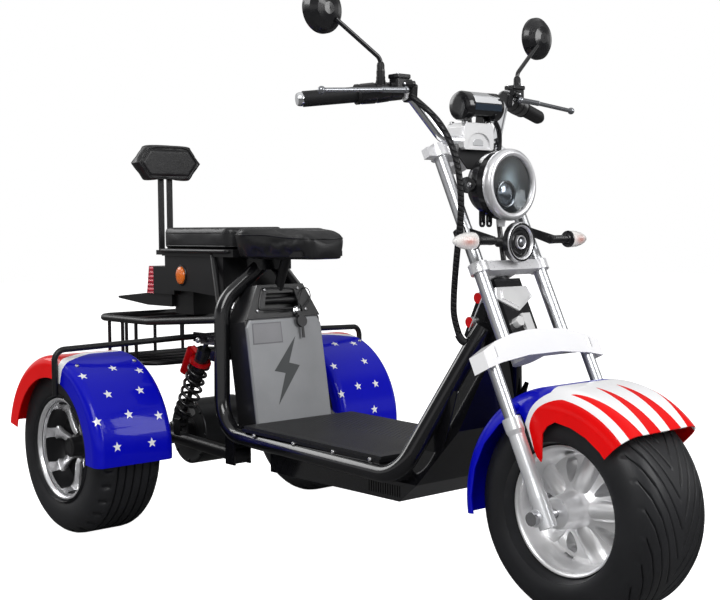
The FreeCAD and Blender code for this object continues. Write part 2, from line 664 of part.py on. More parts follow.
for number, share in enumerate((0.12, 0.62)):
    reach = d.neck_top_back + (d.neck_back_reach - d.neck_top_back) * share
    up = neck_high - (neck_high - d.neck_back_up) * share - d.reflector_radius
    reflector_pieces.append(cylinder(f"reflector{number}", on_fork(up, d.neck_half_width, axis_ahead - reach),
                                     Vector(0, 1, 0), d.reflector_radius, d.reflector_depth))
node("side_reflectors", both_sides("reflector_pair", fused("reflector_side", reflector_pieces)))


# Footboard with its mat

deck_rise = (d.rail_heel_height - d.rail_toe_up) / (d.rail_toe_forward - d.rail_heel_forward)
deck_body = new_body("deck")
deck_low = d.fit_gap + d.rail_heel_height - deck_rise * (d.deck_start - d.rail_heel_forward) + d.rail_radius
deck_far = d.fit_gap + d.rail_heel_height - deck_rise * (d.deck_end - d.rail_heel_forward) + d.rail_radius
deck_sketch = sketch(deck_body, "deck_side", "XZ_Plane", [[
    (d.deck_start, deck_low), (d.deck_end, deck_far), (d.deck_end, deck_far + d.deck_thickness),
    (d.deck_start, deck_low + d.deck_thickness),
]])
pad(deck_body, deck_sketch, d.deck_half_width * 2)
place(deck_body, rear_axle)
node("footboard", deck_body)
mat_body = new_body("mat")
mat_low = deck_low + d.deck_thickness
mat_far = deck_far + d.deck_thickness
mat_sketch = sketch(mat_body, "mat_side", "XZ_Plane", [[
    (d.deck_start, mat_low), (d.deck_end, mat_far), (d.deck_end, mat_far + d.mat_thickness),
    (d.deck_start, mat_low + d.mat_thickness),
]])
pad(mat_body, mat_sketch, (d.deck_half_width - d.mat_thickness) * 2)
place(mat_body, rear_axle)
node("footboard_mat", mat_body)


# Belly pan that rises into the front apron between the rails

belly_side = new_body("belly_side")
belly_side_sketch = sketch(belly_side, "belly_side_outline", "XZ_Plane", [[
    (d.belly_start, d.belly_floor), (d.belly_toe, d.belly_floor),
    (d.belly_nose_forward, d.belly_nose_up), (d.belly_brow_forward, d.belly_brow_height),
    (d.belly_crown_forward, d.belly_crown_up),
    (d.belly_crown_forward - d.belly_wall_depth, d.belly_crown_up),
    (d.belly_brow_forward - d.belly_wall_depth, d.belly_brow_height),
    (d.belly_toe, d.belly_back_up), (d.belly_start, d.belly_back_up),
]])
pad(belly_side, belly_side_sketch, d.belly_half_width * 2)
belly_front = new_body("belly_front")
belly_front_sketch = sketch(belly_front, "belly_front_outline", "YZ_Plane", [[
    (-d.belly_half_width, d.belly_floor - d.cut_overrun),
    (d.belly_half_width, d.belly_floor - d.cut_overrun),
    (d.belly_half_width, d.belly_nose_up), (d.belly_top_half_width, d.belly_crown_up + d.cut_overrun),
    (-d.belly_top_half_width, d.belly_crown_up + d.cut_overrun), (-d.belly_half_width, d.belly_nose_up),
]])
pad(belly_front, belly_front_sketch, d.wheelbase, midplane=False)
belly_plan = new_body("belly_plan")
belly_plan_sketch = sketch(belly_plan, "belly_plan_outline", "XY_Plane", [[
    (d.belly_start, -d.belly_half_width), (d.belly_crown_forward, -d.belly_half_width),
    (d.belly_crown_forward, d.belly_half_width), (d.belly_start, d.belly_half_width),
]])
belly_plan_pad = pad(belly_plan, belly_plan_sketch, d.driver_top, midplane=False)
belly_far = float(d.belly_crown_forward)
belly_round = round_edges(belly_plan, belly_plan_pad, d.belly_corner,
                          lambda edge: upright_edge(edge) and edge.BoundBox.XMin > belly_far * 0.9)
belly_plan.Tip = belly_round
belly_whole = common("belly_whole", [belly_side, belly_front, belly_plan])
place(belly_whole, rear_axle)
grille_slots = []
for number in range(int(float(d.grille_count))):
    slot_forward = d.belly_toe - d.grille_pitch * number
    for edge in (-1, 1):
        slot_side = d.belly_half_width * edge - d.grille_depth
        grille_slots.append(box(f"grille_slot{number}_{edge + 1}", rear_axle + slot_forward, slot_side, d.grille_up,
                                d.grille_slot, d.grille_depth * 2, d.grille_height))
node("belly_pan", cut("belly", belly_whole, left_rail, right_rail, toe_cross, nodes["frame_neck"], *grille_slots))


# Battery box

def battery_point(ahead, up):
    """Lengthwise place and height of a point by its distance ahead of the panel's face and up along it."""
    lean = math.radians(float(d.battery_lean))
    lean_sine = Measure(math.sin(lean), "sin(Sizes.battery_lean * 1 deg)")
    lean_cosine = Measure(math.cos(lean), "cos(Sizes.battery_lean * 1 deg)")
    ahead, up = measure(ahead), measure(up)
    return (rear_axle + d.battery_front_forward + lean_cosine * ahead - lean_sine * up,
            d.battery_bottom_up + lean_sine * ahead + lean_cosine * up)


def battery_frame(thing, ahead=0, up=0):
    """Leans a piece drawn upright back to the battery panel."""
    thing.Placement = Placement(Vector(), Rotation(Vector(0, 1, 0), -float(d.battery_lean)))
    forward, high = battery_point(ahead, up)
    place(thing, forward, 0, high)
    return thing


battery_outline = [
    (-d.battery_half_width, 0), (d.battery_half_width, 0), (d.battery_half_width, d.battery_shoulder),
    (d.battery_top_half_width, d.battery_height), (-d.battery_top_half_width, d.battery_height),
    (-d.battery_half_width, d.battery_shoulder),
]
case_body = new_body("case")
case_sketch = sketch(case_body, "case_outline", "YZ_Plane", [battery_outline])
pad(case_body, case_sketch, d.battery_depth, midplane=False, reverse=True)
battery_frame(case_body, -d.battery_panel_thickness)
panel_body = new_body("panel")
panel_sketch = sketch(panel_body, "panel_outline", "YZ_Plane", [[
    (-d.battery_half_width, 0), (d.battery_half_width, 0), (d.battery_half_width, d.panel_shoulder),
    (d.panel_top_half_width, d.panel_top), (-d.panel_top_half_width, d.panel_top),
    (-d.battery_half_width, d.panel_shoulder),
]])
panel_pad = pad(panel_body, panel_sketch, d.battery_panel_thickness, midplane=False, reverse=True)
doc.recompute()
panel_front = panel_body.newObject("PartDesign::Chamfer", "panel_chamfer")
panel_front.Base = (panel_pad, [f"Edge{number}" for number, edge in enumerate(panel_pad.Shape.Edges, start=1)
                                if edge.BoundBox.XLength < float(d.fit_gap) and abs(edge.BoundBox.XMax) < 0.01])
bind(panel_front, "Size", d.battery_panel_thickness / 2)
panel_body.Tip = panel_front
battery_frame(panel_body)
node("battery_panel", panel_body)


# Upper cover of the battery box with its carrying handle

top_share = (d.panel_top - d.battery_shoulder) / (d.battery_height - d.battery_shoulder)
cover_low_half = d.battery_half_width - (d.battery_half_width - d.battery_top_half_width) * top_share
top_body = new_body("battery_top")
top_sketch = sketch(top_body, "battery_top_outline", "YZ_Plane", [[
    (-cover_low_half, d.panel_top + d.fit_gap), (cover_low_half, d.panel_top + d.fit_gap),
    (d.battery_top_half_width, d.battery_height), (-d.battery_top_half_width, d.battery_height),
]])
pad(top_body, top_sketch, d.battery_panel_thickness - d.fit_gap, midplane=False, reverse=True)
battery_frame(top_body)
recess_body = new_body("handle_recess")
recess_sketch = sketch(recess_body, "handle_recess_outline", "YZ_Plane", [[
    (-d.recess_half_width, d.recess_low), (d.recess_half_width, d.recess_low),
    (d.recess_top_half_width, d.recess_high), (-d.recess_top_half_width, d.recess_high),
]])
pad(recess_body, recess_sketch, d.recess_depth, midplane=False, reverse=True)
battery_frame(recess_body, d.cut_overrun)
bar_forward, bar_high = battery_point(-d.handle_radius - d.battery_panel_thickness / 2, d.handle_up)
grip_bar = cylinder("grip_bar", (bar_forward, -d.recess_half_width, bar_high), Vector(0, 1, 0), d.handle_radius,
                    d.recess_half_width * 2)
node("battery_handle", fused("battery_top_whole", [cut("battery_top_open", top_body, recess_body), grip_bar]))
case_solid = cut("battery_case_cut", case_body, left_rail, right_rail, recess_body, grip_bar)
node("battery_case", case_solid)


# Lock with its key, ring and fob

def battery_piece(name, ahead, side, up, radius, length):
    """Round piece that stands out of the battery panel."""
    solid = doc.addObject("Part::Cylinder", name)
    bind(solid, "Radius", radius)
    bind(solid, "Height", length)
    lean = math.radians(float(d.battery_lean))
    direction = Vector(math.cos(lean), 0, math.sin(lean))
    solid.Placement = Placement(Vector(), Rotation(Vector(0, 0, 1), direction))
    forward, high = battery_point(ahead, up)
    place(solid, forward, side, high)
    return solid


battery_lock = battery_piece("battery_lock", 0, d.battery_lock_side, d.battery_lock_up - d.handle_radius,
                             d.battery_lock_radius, d.battery_lock_length)
key_head = battery_piece("key_head", d.battery_lock_length, d.battery_lock_side,
                         d.battery_lock_up - d.handle_radius, d.battery_lock_radius * 0.8, d.battery_lock_length)
fob = battery_piece("fob", d.fob_depth / 2, d.battery_lock_side + d.fob_radius / 2, d.battery_lock_up - d.fob_drop,
                    d.fob_radius, d.fob_depth)
blade = box("key_blade", 0, 0, 0, d.key_thickness, d.key_width, d.key_length)
battery_frame(blade, d.fob_depth, d.battery_lock_up - d.fob_drop - d.fob_radius / 2 - d.key_length)
bind(blade, "Placement.Base.y", d.battery_lock_side + d.fob_radius / 2 - d.key_width / 2)
loop = doc.addObject("Part::Torus", "key_loop")
bind(loop, "Radius1", d.key_ring_radius)
bind(loop, "Radius2", d.key_ring_wire)
loop.Placement = Placement(Vector(), Rotation(Vector(0, 0, 1), Vector(1, 0, 0)))
loop_place = battery_point(d.battery_lock_length * 1.5, d.battery_lock_up - d.handle_radius - d.key_ring_radius)
place(loop, loop_place[0], d.battery_lock_side, loop_place[1])
node("battery_key", fused("battery_key_whole", [battery_lock, key_head, fob, blade, loop]))


# Seats

driver_body = new_body("driver")
driver_sketch = sketch(driver_body, "driver_outline", "XY_Plane", [[
    (d.driver_rear, -d.driver_half_width + d.seat_corner), (d.driver_wide_forward, -d.driver_half_width),
    (d.driver_nose, -d.driver_nose_half_width), (d.driver_nose, d.driver_nose_half_width),
    (d.driver_wide_forward, d.driver_half_width), (d.driver_rear, d.driver_half_width - d.seat_corner),
]])
driver_pad = pad(driver_body, driver_sketch, d.driver_top - d.driver_bottom, midplane=False)
place(driver_body, rear_axle, 0, d.driver_bottom)
driver_round = round_edges(driver_body, driver_pad, d.seat_corner, upright_edge)
driver_body.Tip = driver_round


def top_edge_of(height):
    """Chooser of the level edges at the top of a cushion."""
    def chooser(edge):
        box_of = edge.BoundBox
        return box_of.ZLength < height * 0.01 and box_of.ZMin > height * 0.5
    return chooser


driver_soft = round_edges(driver_body, driver_round, d.seat_edge,
                          top_edge_of(float(d.driver_top - d.driver_bottom)))
driver_body.Tip = driver_soft
node("driver_seat", driver_body)

passenger_body = new_body("passenger")
passenger_sketch = sketch(passenger_body, "passenger_outline", "XY_Plane", [[
    (d.passenger_rear, -d.passenger_half_width), (d.passenger_front, -d.passenger_half_width),
    (d.passenger_front, d.passenger_half_width), (d.passenger_rear, d.passenger_half_width),
]])
passenger_pad = pad(passenger_body, passenger_sketch, d.passenger_top - d.passenger_bottom, midplane=False)
place(passenger_body, rear_axle, 0, d.passenger_bottom)
passenger_round = round_edges(passenger_body, passenger_pad, d.seat_corner, upright_edge)
passenger_body.Tip = passenger_round
passenger_soft = round_edges(passenger_body, passenger_round, d.seat_edge,
                             top_edge_of(float(d.passenger_top - d.passenger_bottom)))
passenger_body.Tip = passenger_soft
node("passenger_seat", passenger_body)


# Seat base: pans, box and struts

pan_top = d.driver_bottom
pan_start = d.passenger_front + d.pan_inset
driver_pan = box("driver_pan", rear_axle + pan_start, -d.driver_half_width / 2,
                 pan_top - d.pan_thickness, d.driver_nose - pan_start - d.seat_corner,
                 d.driver_half_width, d.pan_thickness)
passenger_pan = box("passenger_pan", rear_axle + d.passenger_rear + d.pan_inset,
                    -d.passenger_half_width + d.pan_inset, d.passenger_bottom - d.pan_thickness * 1.5,
                    d.passenger_front - d.passenger_rear, (d.passenger_half_width - d.pan_inset) * 2,
                    d.pan_thickness * 1.5)
tail_plate = box("tail_plate", rear_axle + d.tail_plate_rear, -d.tail_plate_half_width,
                 d.passenger_bottom - d.pan_thickness * 1.5, d.passenger_rear - d.tail_plate_rear + d.seat_corner,
                 d.tail_plate_half_width * 2, d.pan_thickness)
box_body = new_body("seat_box_body")
box_top = d.passenger_bottom - d.pan_thickness
box_sketch = sketch(box_body, "seat_box_side", "XZ_Plane", [[
    (d.box_rear, box_floor), (d.box_floor_forward, box_floor), (d.box_front, box_floor - d.box_front_drop),
    (d.box_front, box_top), (d.box_rear, box_top),
]])
pad(box_body, box_sketch, d.box_half_width * 2)
place(box_body, rear_axle)
hanger = box("hanger", rear_axle + d.hanger_rear, -d.hanger_half_width, rack_top + d.rack_tube_radius,
             d.hanger_front - d.hanger_rear, d.hanger_half_width * 2, d.hanger_height)
strut = rod("strut", at(d.strut_top_forward, d.box_half_width, d.passenger_bottom - d.pan_thickness),
            at(d.rail_shoulder_forward, d.rail_shoulder_side, d.rail_shoulder_up - d.rail_radius * 3),
            d.strut_radius)
seat_post_foot = battery_point(-d.battery_panel_thickness * 1.5, d.battery_height - d.seat_post_radius)
seat_post = rod("seat_post", (seat_post_foot[0], 0, seat_post_foot[1]),
                (seat_post_foot[0] + d.seat_post_lean, 0, d.driver_bottom - d.pan_thickness / 2),
                d.seat_post_radius)
post = box("post", rear_axle + d.post_forward - d.post_thickness / 2, d.post_half_spacing - d.post_width / 2,
           d.passenger_bottom - d.pan_thickness / 2, d.post_thickness, d.post_width,
           d.post_top - d.passenger_bottom + d.pan_thickness / 2)
seat_base = fused("seat_base_whole", [driver_pan, passenger_pan, tail_plate, box_body, hanger, seat_post,
                                      both_sides("struts", strut), both_sides("posts", post)])
node("seat_base", cut("seat_base_cut", seat_base, left_rail, right_rail, cross_bars,
                      nodes["battery_case"], nodes["battery_handle"]))


# Backrest

pad_body = new_body("backrest_body")
pad_sketch = sketch(pad_body, "backrest_outline", "YZ_Plane", [[
    (-d.pad_half_width, 0), (-d.pad_half_width + d.pad_point_run, -d.pad_half_height),
    (d.pad_half_width - d.pad_point_run, -d.pad_half_height), (d.pad_half_width, 0),
    (d.pad_half_width - d.pad_point_run, d.pad_half_height),
    (-d.pad_half_width + d.pad_point_run, d.pad_half_height),
]])
pad(pad_body, pad_sketch, d.pad_thickness, midplane=False, reverse=True)
place(pad_body, rear_axle + d.pad_forward, 0, d.pad_up)
post_hole = box("post_hole", rear_axle + d.post_forward - d.post_thickness / 2,
                -d.post_half_spacing - d.post_width / 2, d.pad_up - d.pad_half_height - d.cut_overrun,
                d.post_thickness, d.post_half_spacing * 2 + d.post_width,
                d.post_top - d.pad_up + d.pad_half_height + d.cut_overrun)
node("backrest_pad", cut("backrest_pad_cut", pad_body, post_hole))


# Tail lamp, side lamps and tail mudguard

lens_body = new_body("lens")
lens_sketch = sketch(lens_body, "lens_side", "XZ_Plane", [[
    (d.lens_rear, d.lamp_bottom), (d.lens_front, d.lamp_bottom), (d.lens_front, d.lamp_top),
    (d.lens_rear + d.lens_slant, d.lamp_top),
]])
lens_pad = pad(lens_body, lens_sketch, d.lamp_half_width * 2)
place(lens_body, rear_axle)
rear_limit = float(d.lens_rear + d.lens_slant * 1.5)
lens_round = round_edges(lens_body, lens_pad, d.lens_corner,
                         lambda edge: edge.BoundBox.XMax < rear_limit and edge.BoundBox.YLength < 1)
lens_body.Tip = lens_round
node("tail_lens", lens_body)
housing = box("housing", rear_axle + d.lens_front, -d.lamp_half_width, d.lamp_bottom,
              d.box_rear - d.lens_front, d.lamp_half_width * 2, d.lamp_top - d.lamp_bottom)
node("tail_housing", cut("housing_cut", housing, nodes["seat_base"]))
side_lamp = cylinder("side_lamp", at(d.side_lamp_forward, d.box_half_width, d.side_lamp_up),
                     Vector(0, 1, 0), d.side_lamp_radius, d.side_lamp_depth)
node("side_lamps", both_sides("side_lamp_pair", side_lamp))
tongue_body = new_body("tongue")
tongue_sketch = sketch(tongue_body, "tongue_side", "XZ_Plane", [[
    (-d.tail_reach, d.tongue_tip_up), (d.lens_rear, d.tongue_floor), (d.hanger_rear, d.tongue_floor),
    (d.hanger_rear, d.lamp_bottom), (d.lens_front, d.lamp_bottom), (d.lens_rear, d.lamp_bottom),
]])
pad(tongue_body, tongue_sketch, d.tongue_half_width * 2)
tongue_plan = new_body("tongue_plan")
tongue_plan_sketch = sketch(tongue_plan, "tongue_plan_outline", "XY_Plane", [[
    (-d.tail_reach, -d.tongue_half_width), (d.hanger_rear, -d.tongue_half_width),
    (d.hanger_rear, d.tongue_half_width), (-d.tail_reach, d.tongue_half_width),
]])
tongue_plan_pad = pad(tongue_plan, tongue_plan_sketch, d.lamp_top, midplane=False)
tongue_rear = -float(d.tail_reach)
tongue_plan_round = round_edges(tongue_plan, tongue_plan_pad, d.tongue_half_width * 0.96,
                                lambda edge: upright_edge(edge) and edge.BoundBox.XMax < tongue_rear * 0.99)
tongue_plan.Tip = tongue_plan_round
tongue = common("tongue_round", [tongue_body, tongue_plan])
place(tongue, rear_axle)
node("tail_mudguard", tongue)


# Bar that carries the rear fenders from side to side

stay_side = d.fender_outer_side + d.stay_radius
stay_mid = at(d.stay_mid_forward, d.stay_mid_side, d.stay_mid_up)
stay_bend_point = at(d.stay_forward, stay_side, d.stay_up)
stay_foot = at(d.stay_forward, stay_side, d.stay_foot_up)
stay_left = [stay_foot, stay_bend_point, stay_mid]
stay_right = [(forward, -side, up) for forward, side, up in reversed(stay_left)]
stay = pipe("stay", stay_left + stay_right, [d.stay_bend, d.stay_bend * 6, d.stay_bend * 6, d.stay_bend],
            d.stay_radius)
node("fender_stay", stay)


# Luggage rack

rack_floor = rack_top - d.rack_depth
rack_corners = [
    at(d.rack_front, d.rack_half_width, rack_top), at(d.rack_rear, d.rack_half_width, rack_top),
    at(d.rack_rear, -d.rack_half_width, rack_top), at(d.rack_front, -d.rack_half_width, rack_top),
]
rack_rail = pipe("rack_rail", [
    at(d.rack_root_forward, d.rack_root_side, d.rack_root_up), *rack_corners,
    at(d.rack_root_forward, -d.rack_root_side, d.rack_root_up),
], [d.rack_corner * 2, d.rack_corner, d.rack_corner, d.rack_corner * 2], d.rack_tube_radius)
floor_corners = [(forward, side, rack_floor) for forward, side, up in rack_corners]
rack_pieces = [rack_rail, ring_pipe("rack_bottom", floor_corners, d.rack_corner, d.rack_bar_radius)]
rack_pieces.append(cylinder("rack_seat", at(d.rack_seat_forward, -d.rack_half_width, rack_top),
                            Vector(0, 1, 0), d.rack_tube_radius, d.rack_half_width * 2))
post_share = (d.stay_mid_forward - d.rack_front) / (d.rack_root_forward - d.rack_front)
rack_post_side = d.rack_half_width - (d.rack_half_width - d.rack_root_side) * post_share
for edge in (-1, 1):
    rack_pieces.append(cylinder(f"rack_post{edge + 1}", at(d.stay_mid_forward, rack_post_side * edge, d.stay_mid_up),
                                Vector(0, 0, 1), d.rack_bar_radius,
                                rack_top - d.stay_mid_up + d.rack_tube_radius / 2))
for number, share in enumerate((0.14, 0.38, 0.62, 0.86)):
    forward = d.rack_rear + (d.rack_front - d.rack_rear) * share
    rack_pieces.append(cylinder(f"rack_floor{number}", at(forward, -d.rack_half_width, rack_floor),
                                Vector(0, 1, 0), d.rack_rod_radius, d.rack_half_width * 2))
for number, share in enumerate((0.25, 0.5, 0.75)):
    forward = d.rack_rear + (d.rack_front - d.rack_rear) * share
    side = -d.rack_half_width + d.rack_half_width * 2 * share
    for edge, across in enumerate((-d.rack_half_width, d.rack_half_width)):
        rack_pieces.append(cylinder(f"rack_side{number}{edge}", at(forward, across, rack_floor),
                                    Vector(0, 0, 1), d.rack_rod_radius, rack_top - rack_floor))
    rack_pieces.append(cylinder(f"rack_end{number}", at(d.rack_rear, side, rack_floor),
                                Vector(0, 0, 1), d.rack_rod_radius, rack_top - rack_floor))
node("luggage_rack", cut("rack_cut", fused("rack", rack_pieces), left_rail, right_rail, stay, nodes["seat_base"]))


# Rear fenders and their stays

def fender(name, radius, inner, outer, lip, inner_lip, start_angle, sweep_angle, forward, outward, edge_radius):
    """Arched sheet with a wall on each side, turned about the wheel axis."""
    wall = d.fender_wall
    body = new_body(name)
    low, high = (inner, outer) if outward > 0 else (-outer, -inner)
    low_lip, high_lip = (inner_lip, lip) if outward > 0 else (lip, inner_lip)
    drawing = sketch(body, name + "_section", "XY_Plane", [[
        (radius - low_lip, low), (radius, low), (radius, high), (radius - high_lip, high),
        (radius - high_lip, high - wall), (radius - wall, high - wall), (radius - wall, low + wall),
        (radius - low_lip, low + wall),
    ]])
    feature = revolution(body, drawing, "V_Axis", sweep_angle)
    feature.Reversed = True
    doc.recompute()
    crown, under = float(radius), float(radius - wall)

    def crown_edge(edge):
        return hasattr(edge.Curve, "Radius") and abs(edge.Curve.Radius - crown) < crown * 1e-4

    def under_edge(edge):
        return hasattr(edge.Curve, "Radius") and abs(edge.Curve.Radius - under) < crown * 1e-4

    rounded = round_edges(body, feature, edge_radius, crown_edge)
    body.Tip = rounded
    inside = round_edges(body, rounded, edge_radius - wall, under_edge)
    body.Tip = inside
    body.Placement = Placement(Vector(), Rotation(Vector(0, 1, 0), -float(start_angle)))
    bind(body, "Placement.Rotation.Angle", -start_angle)
    place(body, forward, 0, axle_up)
    return body


rear_sweep = d.fender_rear_angle - d.fender_front_angle
right_fender = fender("fender_right", d.fender_radius, d.fender_inner_side, d.fender_outer_side, d.fender_lip,
                      d.fender_inner_lip, d.fender_front_angle, rear_sweep, rear_axle, -1, d.fender_edge)
left_fender = fender("fender_left", d.fender_radius, d.fender_inner_side, d.fender_outer_side, d.fender_lip,
                     d.fender_inner_lip, d.fender_front_angle, rear_sweep, rear_axle, 1, d.fender_edge)
node("rear_fender_right", right_fender)
node("rear_fender_left", left_fender)

# Frame brackets for the shocks and the swing arm

ear_gap = d.shock_eye_width / 2
shock_ear = box("shock_ear", rear_axle + d.shock_top_forward - d.shock_eye_radius, d.shock_side + ear_gap,
                d.shock_top_up - d.shock_eye_radius, d.rail_shoulder_forward - d.shock_top_forward + d.rail_radius,
                d.bracket_wall, d.shock_eye_radius * 2)
inner_ear = box("inner_ear", rear_axle + d.stay_mid_forward, d.shock_side - ear_gap - d.bracket_wall,
                d.shock_top_up - d.shock_eye_radius, d.rail_shoulder_forward - d.stay_mid_forward + d.rail_radius,
                d.bracket_wall, d.shock_eye_radius * 2)
pivot_height = d.rail_heel_height + d.rail_radius - d.pivot_up + d.pivot_bush_radius
pivot_block = box("pivot_block", rear_axle + d.pivot_forward - d.pivot_bush_radius,
                  d.arm_side - d.pivot_bush_width / 2 - d.bracket_wall, d.pivot_up - d.pivot_bush_radius,
                  d.pivot_bush_radius * 2, d.pivot_bush_width + d.bracket_wall * 2, pivot_height)
pivot_slot = box("pivot_slot", rear_axle + d.pivot_forward - d.pivot_bush_radius - d.cut_overrun,
                 d.arm_side - d.pivot_bush_width / 2, d.pivot_up - d.pivot_bush_radius - d.cut_overrun,
                 d.pivot_bush_radius * 2 + d.cut_overrun * 2, d.pivot_bush_width,
                 d.pivot_bush_radius * 2 + d.cut_overrun * 2)
pivot_bracket = cut("pivot_bracket", pivot_block, pivot_slot)
bracket_pair = both_sides("bracket_pair", fused("bracket_side", [shock_ear, inner_ear, pivot_bracket]))
node("frame_cross_tubes", cut("brackets_cut", fused("cross_tubes_whole", [bracket_pair, cross_tubes]), left_rail,
                              right_rail, stay, nodes["battery_case"]))


# Swing arm, axle housing and shocks

arm = rod("arm", at(d.pivot_forward, d.arm_side, d.pivot_up), at(0, d.arm_side, axle_up), d.arm_radius)
bush = cylinder("bush", at(d.pivot_forward, d.arm_side - d.pivot_bush_width / 2, d.pivot_up),
                Vector(0, 1, 0), d.pivot_bush_radius, d.pivot_bush_width)
lug_base = axle_up + d.arm_radius / 2
lug_height = d.shock_foot_up + d.shock_eye_radius - lug_base
outer_lug = box("outer_lug", rear_axle + d.shock_foot_forward - d.shock_eye_radius, d.shock_side + ear_gap,
                lug_base, d.shock_eye_radius * 2, d.bracket_wall, lug_height)
inner_lug = box("inner_lug", rear_axle + d.shock_foot_forward - d.shock_eye_radius,
                d.shock_side - ear_gap - d.bracket_wall, lug_base, d.shock_eye_radius * 2, d.bracket_wall,
                lug_height)
arms = both_sides("arms", fused("arm_side_piece", [arm, bush, outer_lug, inner_lug]))
axle_tube = cylinder("axle_tube", at(0, -d.axle_tube_half, axle_up), Vector(0, 1, 0),
                     d.axle_tube_radius, d.axle_tube_half * 2)
motor = cylinder("motor", at(0, -d.motor_half_width, axle_up), Vector(0, 1, 0),
                 d.motor_radius, d.motor_half_width * 2)
stub = cylinder("stub", at(0, -d.rear_track / 2 - d.rear_hub_width / 2, axle_up), Vector(0, 1, 0),
                d.rear_axle_radius, d.rear_track + d.rear_hub_width)
node("rear_axle", fused("rear_axle_whole", [arms, axle_tube, motor, stub]))

shock_top = at(d.shock_top_forward, d.shock_side, d.shock_top_up)
shock_foot = at(d.shock_foot_forward, d.shock_side, d.shock_foot_up)
shock_line = vector(shock_top) - vector(shock_foot)


def shock_eye(name, place_of):
    forward, side, up = place_of
    return cylinder(name, (forward, side - d.shock_eye_width / 2, up), Vector(0, 1, 0), d.shock_eye_radius,
                    d.shock_eye_width)


def along_shock(share):
    return vector(shock_foot) + shock_line * share


length = shock_line.Length
spring_start, spring_end, body_end = 0.13, 0.72, 0.88
shock = fused("shock", [
    shock_eye("shock_top_eye", shock_top), shock_eye("shock_foot_eye", shock_foot),
    rod("shock_rod", shock_foot, shock_top, d.shock_rod_radius),
    cylinder("shock_seat", tuple(along_shock(spring_start)), shock_line, d.spring_radius + d.spring_wire,
             d.spring_seat),
    cylinder("shock_body", tuple(along_shock(0.5)), shock_line, d.shock_body_radius, length * (body_end - 0.5)),
])
node("shocks", both_sides("shock_pair", shock))
collar_ring = cylinder("collar_ring", tuple(along_shock(spring_end)), shock_line,
                       d.spring_radius + d.spring_wire, d.spring_seat)
back = Vector(-shock_line.z, 0, shock_line.x).normalize()
reservoir_foot = along_shock(0.5) + back * float(d.reservoir_offset)
reservoir_tank = cylinder("reservoir_tank", tuple(reservoir_foot), shock_line, d.reservoir_tank_radius,
                          length * 0.27)
reservoir_arm = rod("reservoir_arm", tuple(along_shock(spring_end + 0.07) + back * float(d.reservoir_offset)),
                    tuple(along_shock(spring_end + 0.07)), d.shock_rod_radius)
red_parts = cut("shock_red_cut", fused("shock_red", [collar_ring, reservoir_tank, reservoir_arm]), shock)
node("shock_reservoirs", both_sides("shock_red_pair", red_parts))
helix = doc.addObject("Part::Helix", "spring_helix")
spring_height = length * (spring_end - spring_start) - float(d.spring_seat) - float(d.spring_wire) * 2
bind(helix, "Radius", d.spring_radius)
helix.Height = spring_height
bind(helix, "Pitch", measure(spring_height) / d.spring_turns)
spring_section = doc.addObject("Part::Circle", "spring_section")
bind(spring_section, "Radius", d.spring_wire)
spring_section.Placement = Placement(Vector(float(d.spring_radius), 0, 0),
                                     Rotation(Vector(0, 0, 1), Vector(0, 1, 0)))
spring = doc.addObject("Part::Sweep", "spring")
spring.Sections = [spring_section]
spring.Spine = (helix, [])
spring.Solid = True
spring.Frenet = True
spring_foot = along_shock(spring_start) + shock_line * ((float(d.spring_seat) + float(d.spring_wire)) / length)
spring.Placement = Placement(spring_foot, Rotation(Vector(0, 0, 1), shock_line))
node("shock_springs", both_sides("spring_pair", spring))


# Fork legs and clamps

slider = new_body("slider")
slider_sketch = sketch(slider, "slider_outline", "XZ_Plane", [[
    (0, 0), (d.slider_boot_radius, 0), (d.slider_boot_radius, d.slider_boot_height),
    (d.slider_radius, d.slider_boot_height + d.slider_taper),
    (d.slider_radius, d.slider_length - d.collar_height - d.slider_taper / 4),
    (d.collar_radius, d.slider_length - d.collar_height), (d.collar_radius, d.slider_length), (0, d.slider_length),
]])
revolution(slider, slider_sketch, "V_Axis")
on_fork_frame(slider, -d.slider_foot, d.leg_half_spacing, d.leg_lead)
collar = cylinder("axle_boss", (front_axle, d.leg_half_spacing - d.slider_radius, axle_up), Vector(0, 1, 0),
                  d.axle_boss_radius, d.slider_radius * 2 + d.axle_boss_radius / 4)
axle_bore = cylinder("axle_bore", (front_axle, 0, axle_up), Vector(0, 1, 0), d.front_axle_radius,
                     d.leg_half_spacing * 2)
sliders = cut("sliders", fused("slider_whole", [slider, collar]), axle_bore)
node("fork_sliders", both_sides("slider_pair", sliders))
stanchion_low = d.slider_length - d.slider_foot
stanchion = fork_cylinder("stanchion", stanchion_low, d.leg_half_spacing, d.leg_lead, d.stanchion_radius,
                          d.yoke_height + d.yoke_thickness - stanchion_low)
upper_tube = fork_cylinder("upper_tube", d.yoke_height, d.tube_half_spacing, d.leg_lead, d.upper_tube_radius,
                           d.top_clamp_height + d.clamp_thickness - d.yoke_height)
node("fork_tubes", both_sides("fork_tube_pair", fused("fork_tube_side", [stanchion, upper_tube])))


def bridge(name, along, thickness, half_width, side):
    """Flat clamp with round ends that joins the two legs and carries the steering stem."""
    plate = box(name + "_plate", 0, 0, 0, d.yoke_depth, side * 2, thickness)
    on_fork_frame(plate, along, -side, d.leg_lead - d.yoke_depth / 2)
    web = box(name + "_web", 0, 0, 0, d.axis_setback, d.stem_boss_radius * 2, thickness)
    on_fork_frame(web, along, -d.stem_boss_radius, axis_ahead)
    middle = fork_cylinder(name + "_boss", along, 0, axis_ahead, d.stem_boss_radius, thickness)
    ends = both_sides(name + "_ends", fork_cylinder(name + "_end", along, side, d.leg_lead,
                                                    half_width - side, thickness))
    return fused(name, [plate, web, middle, ends])


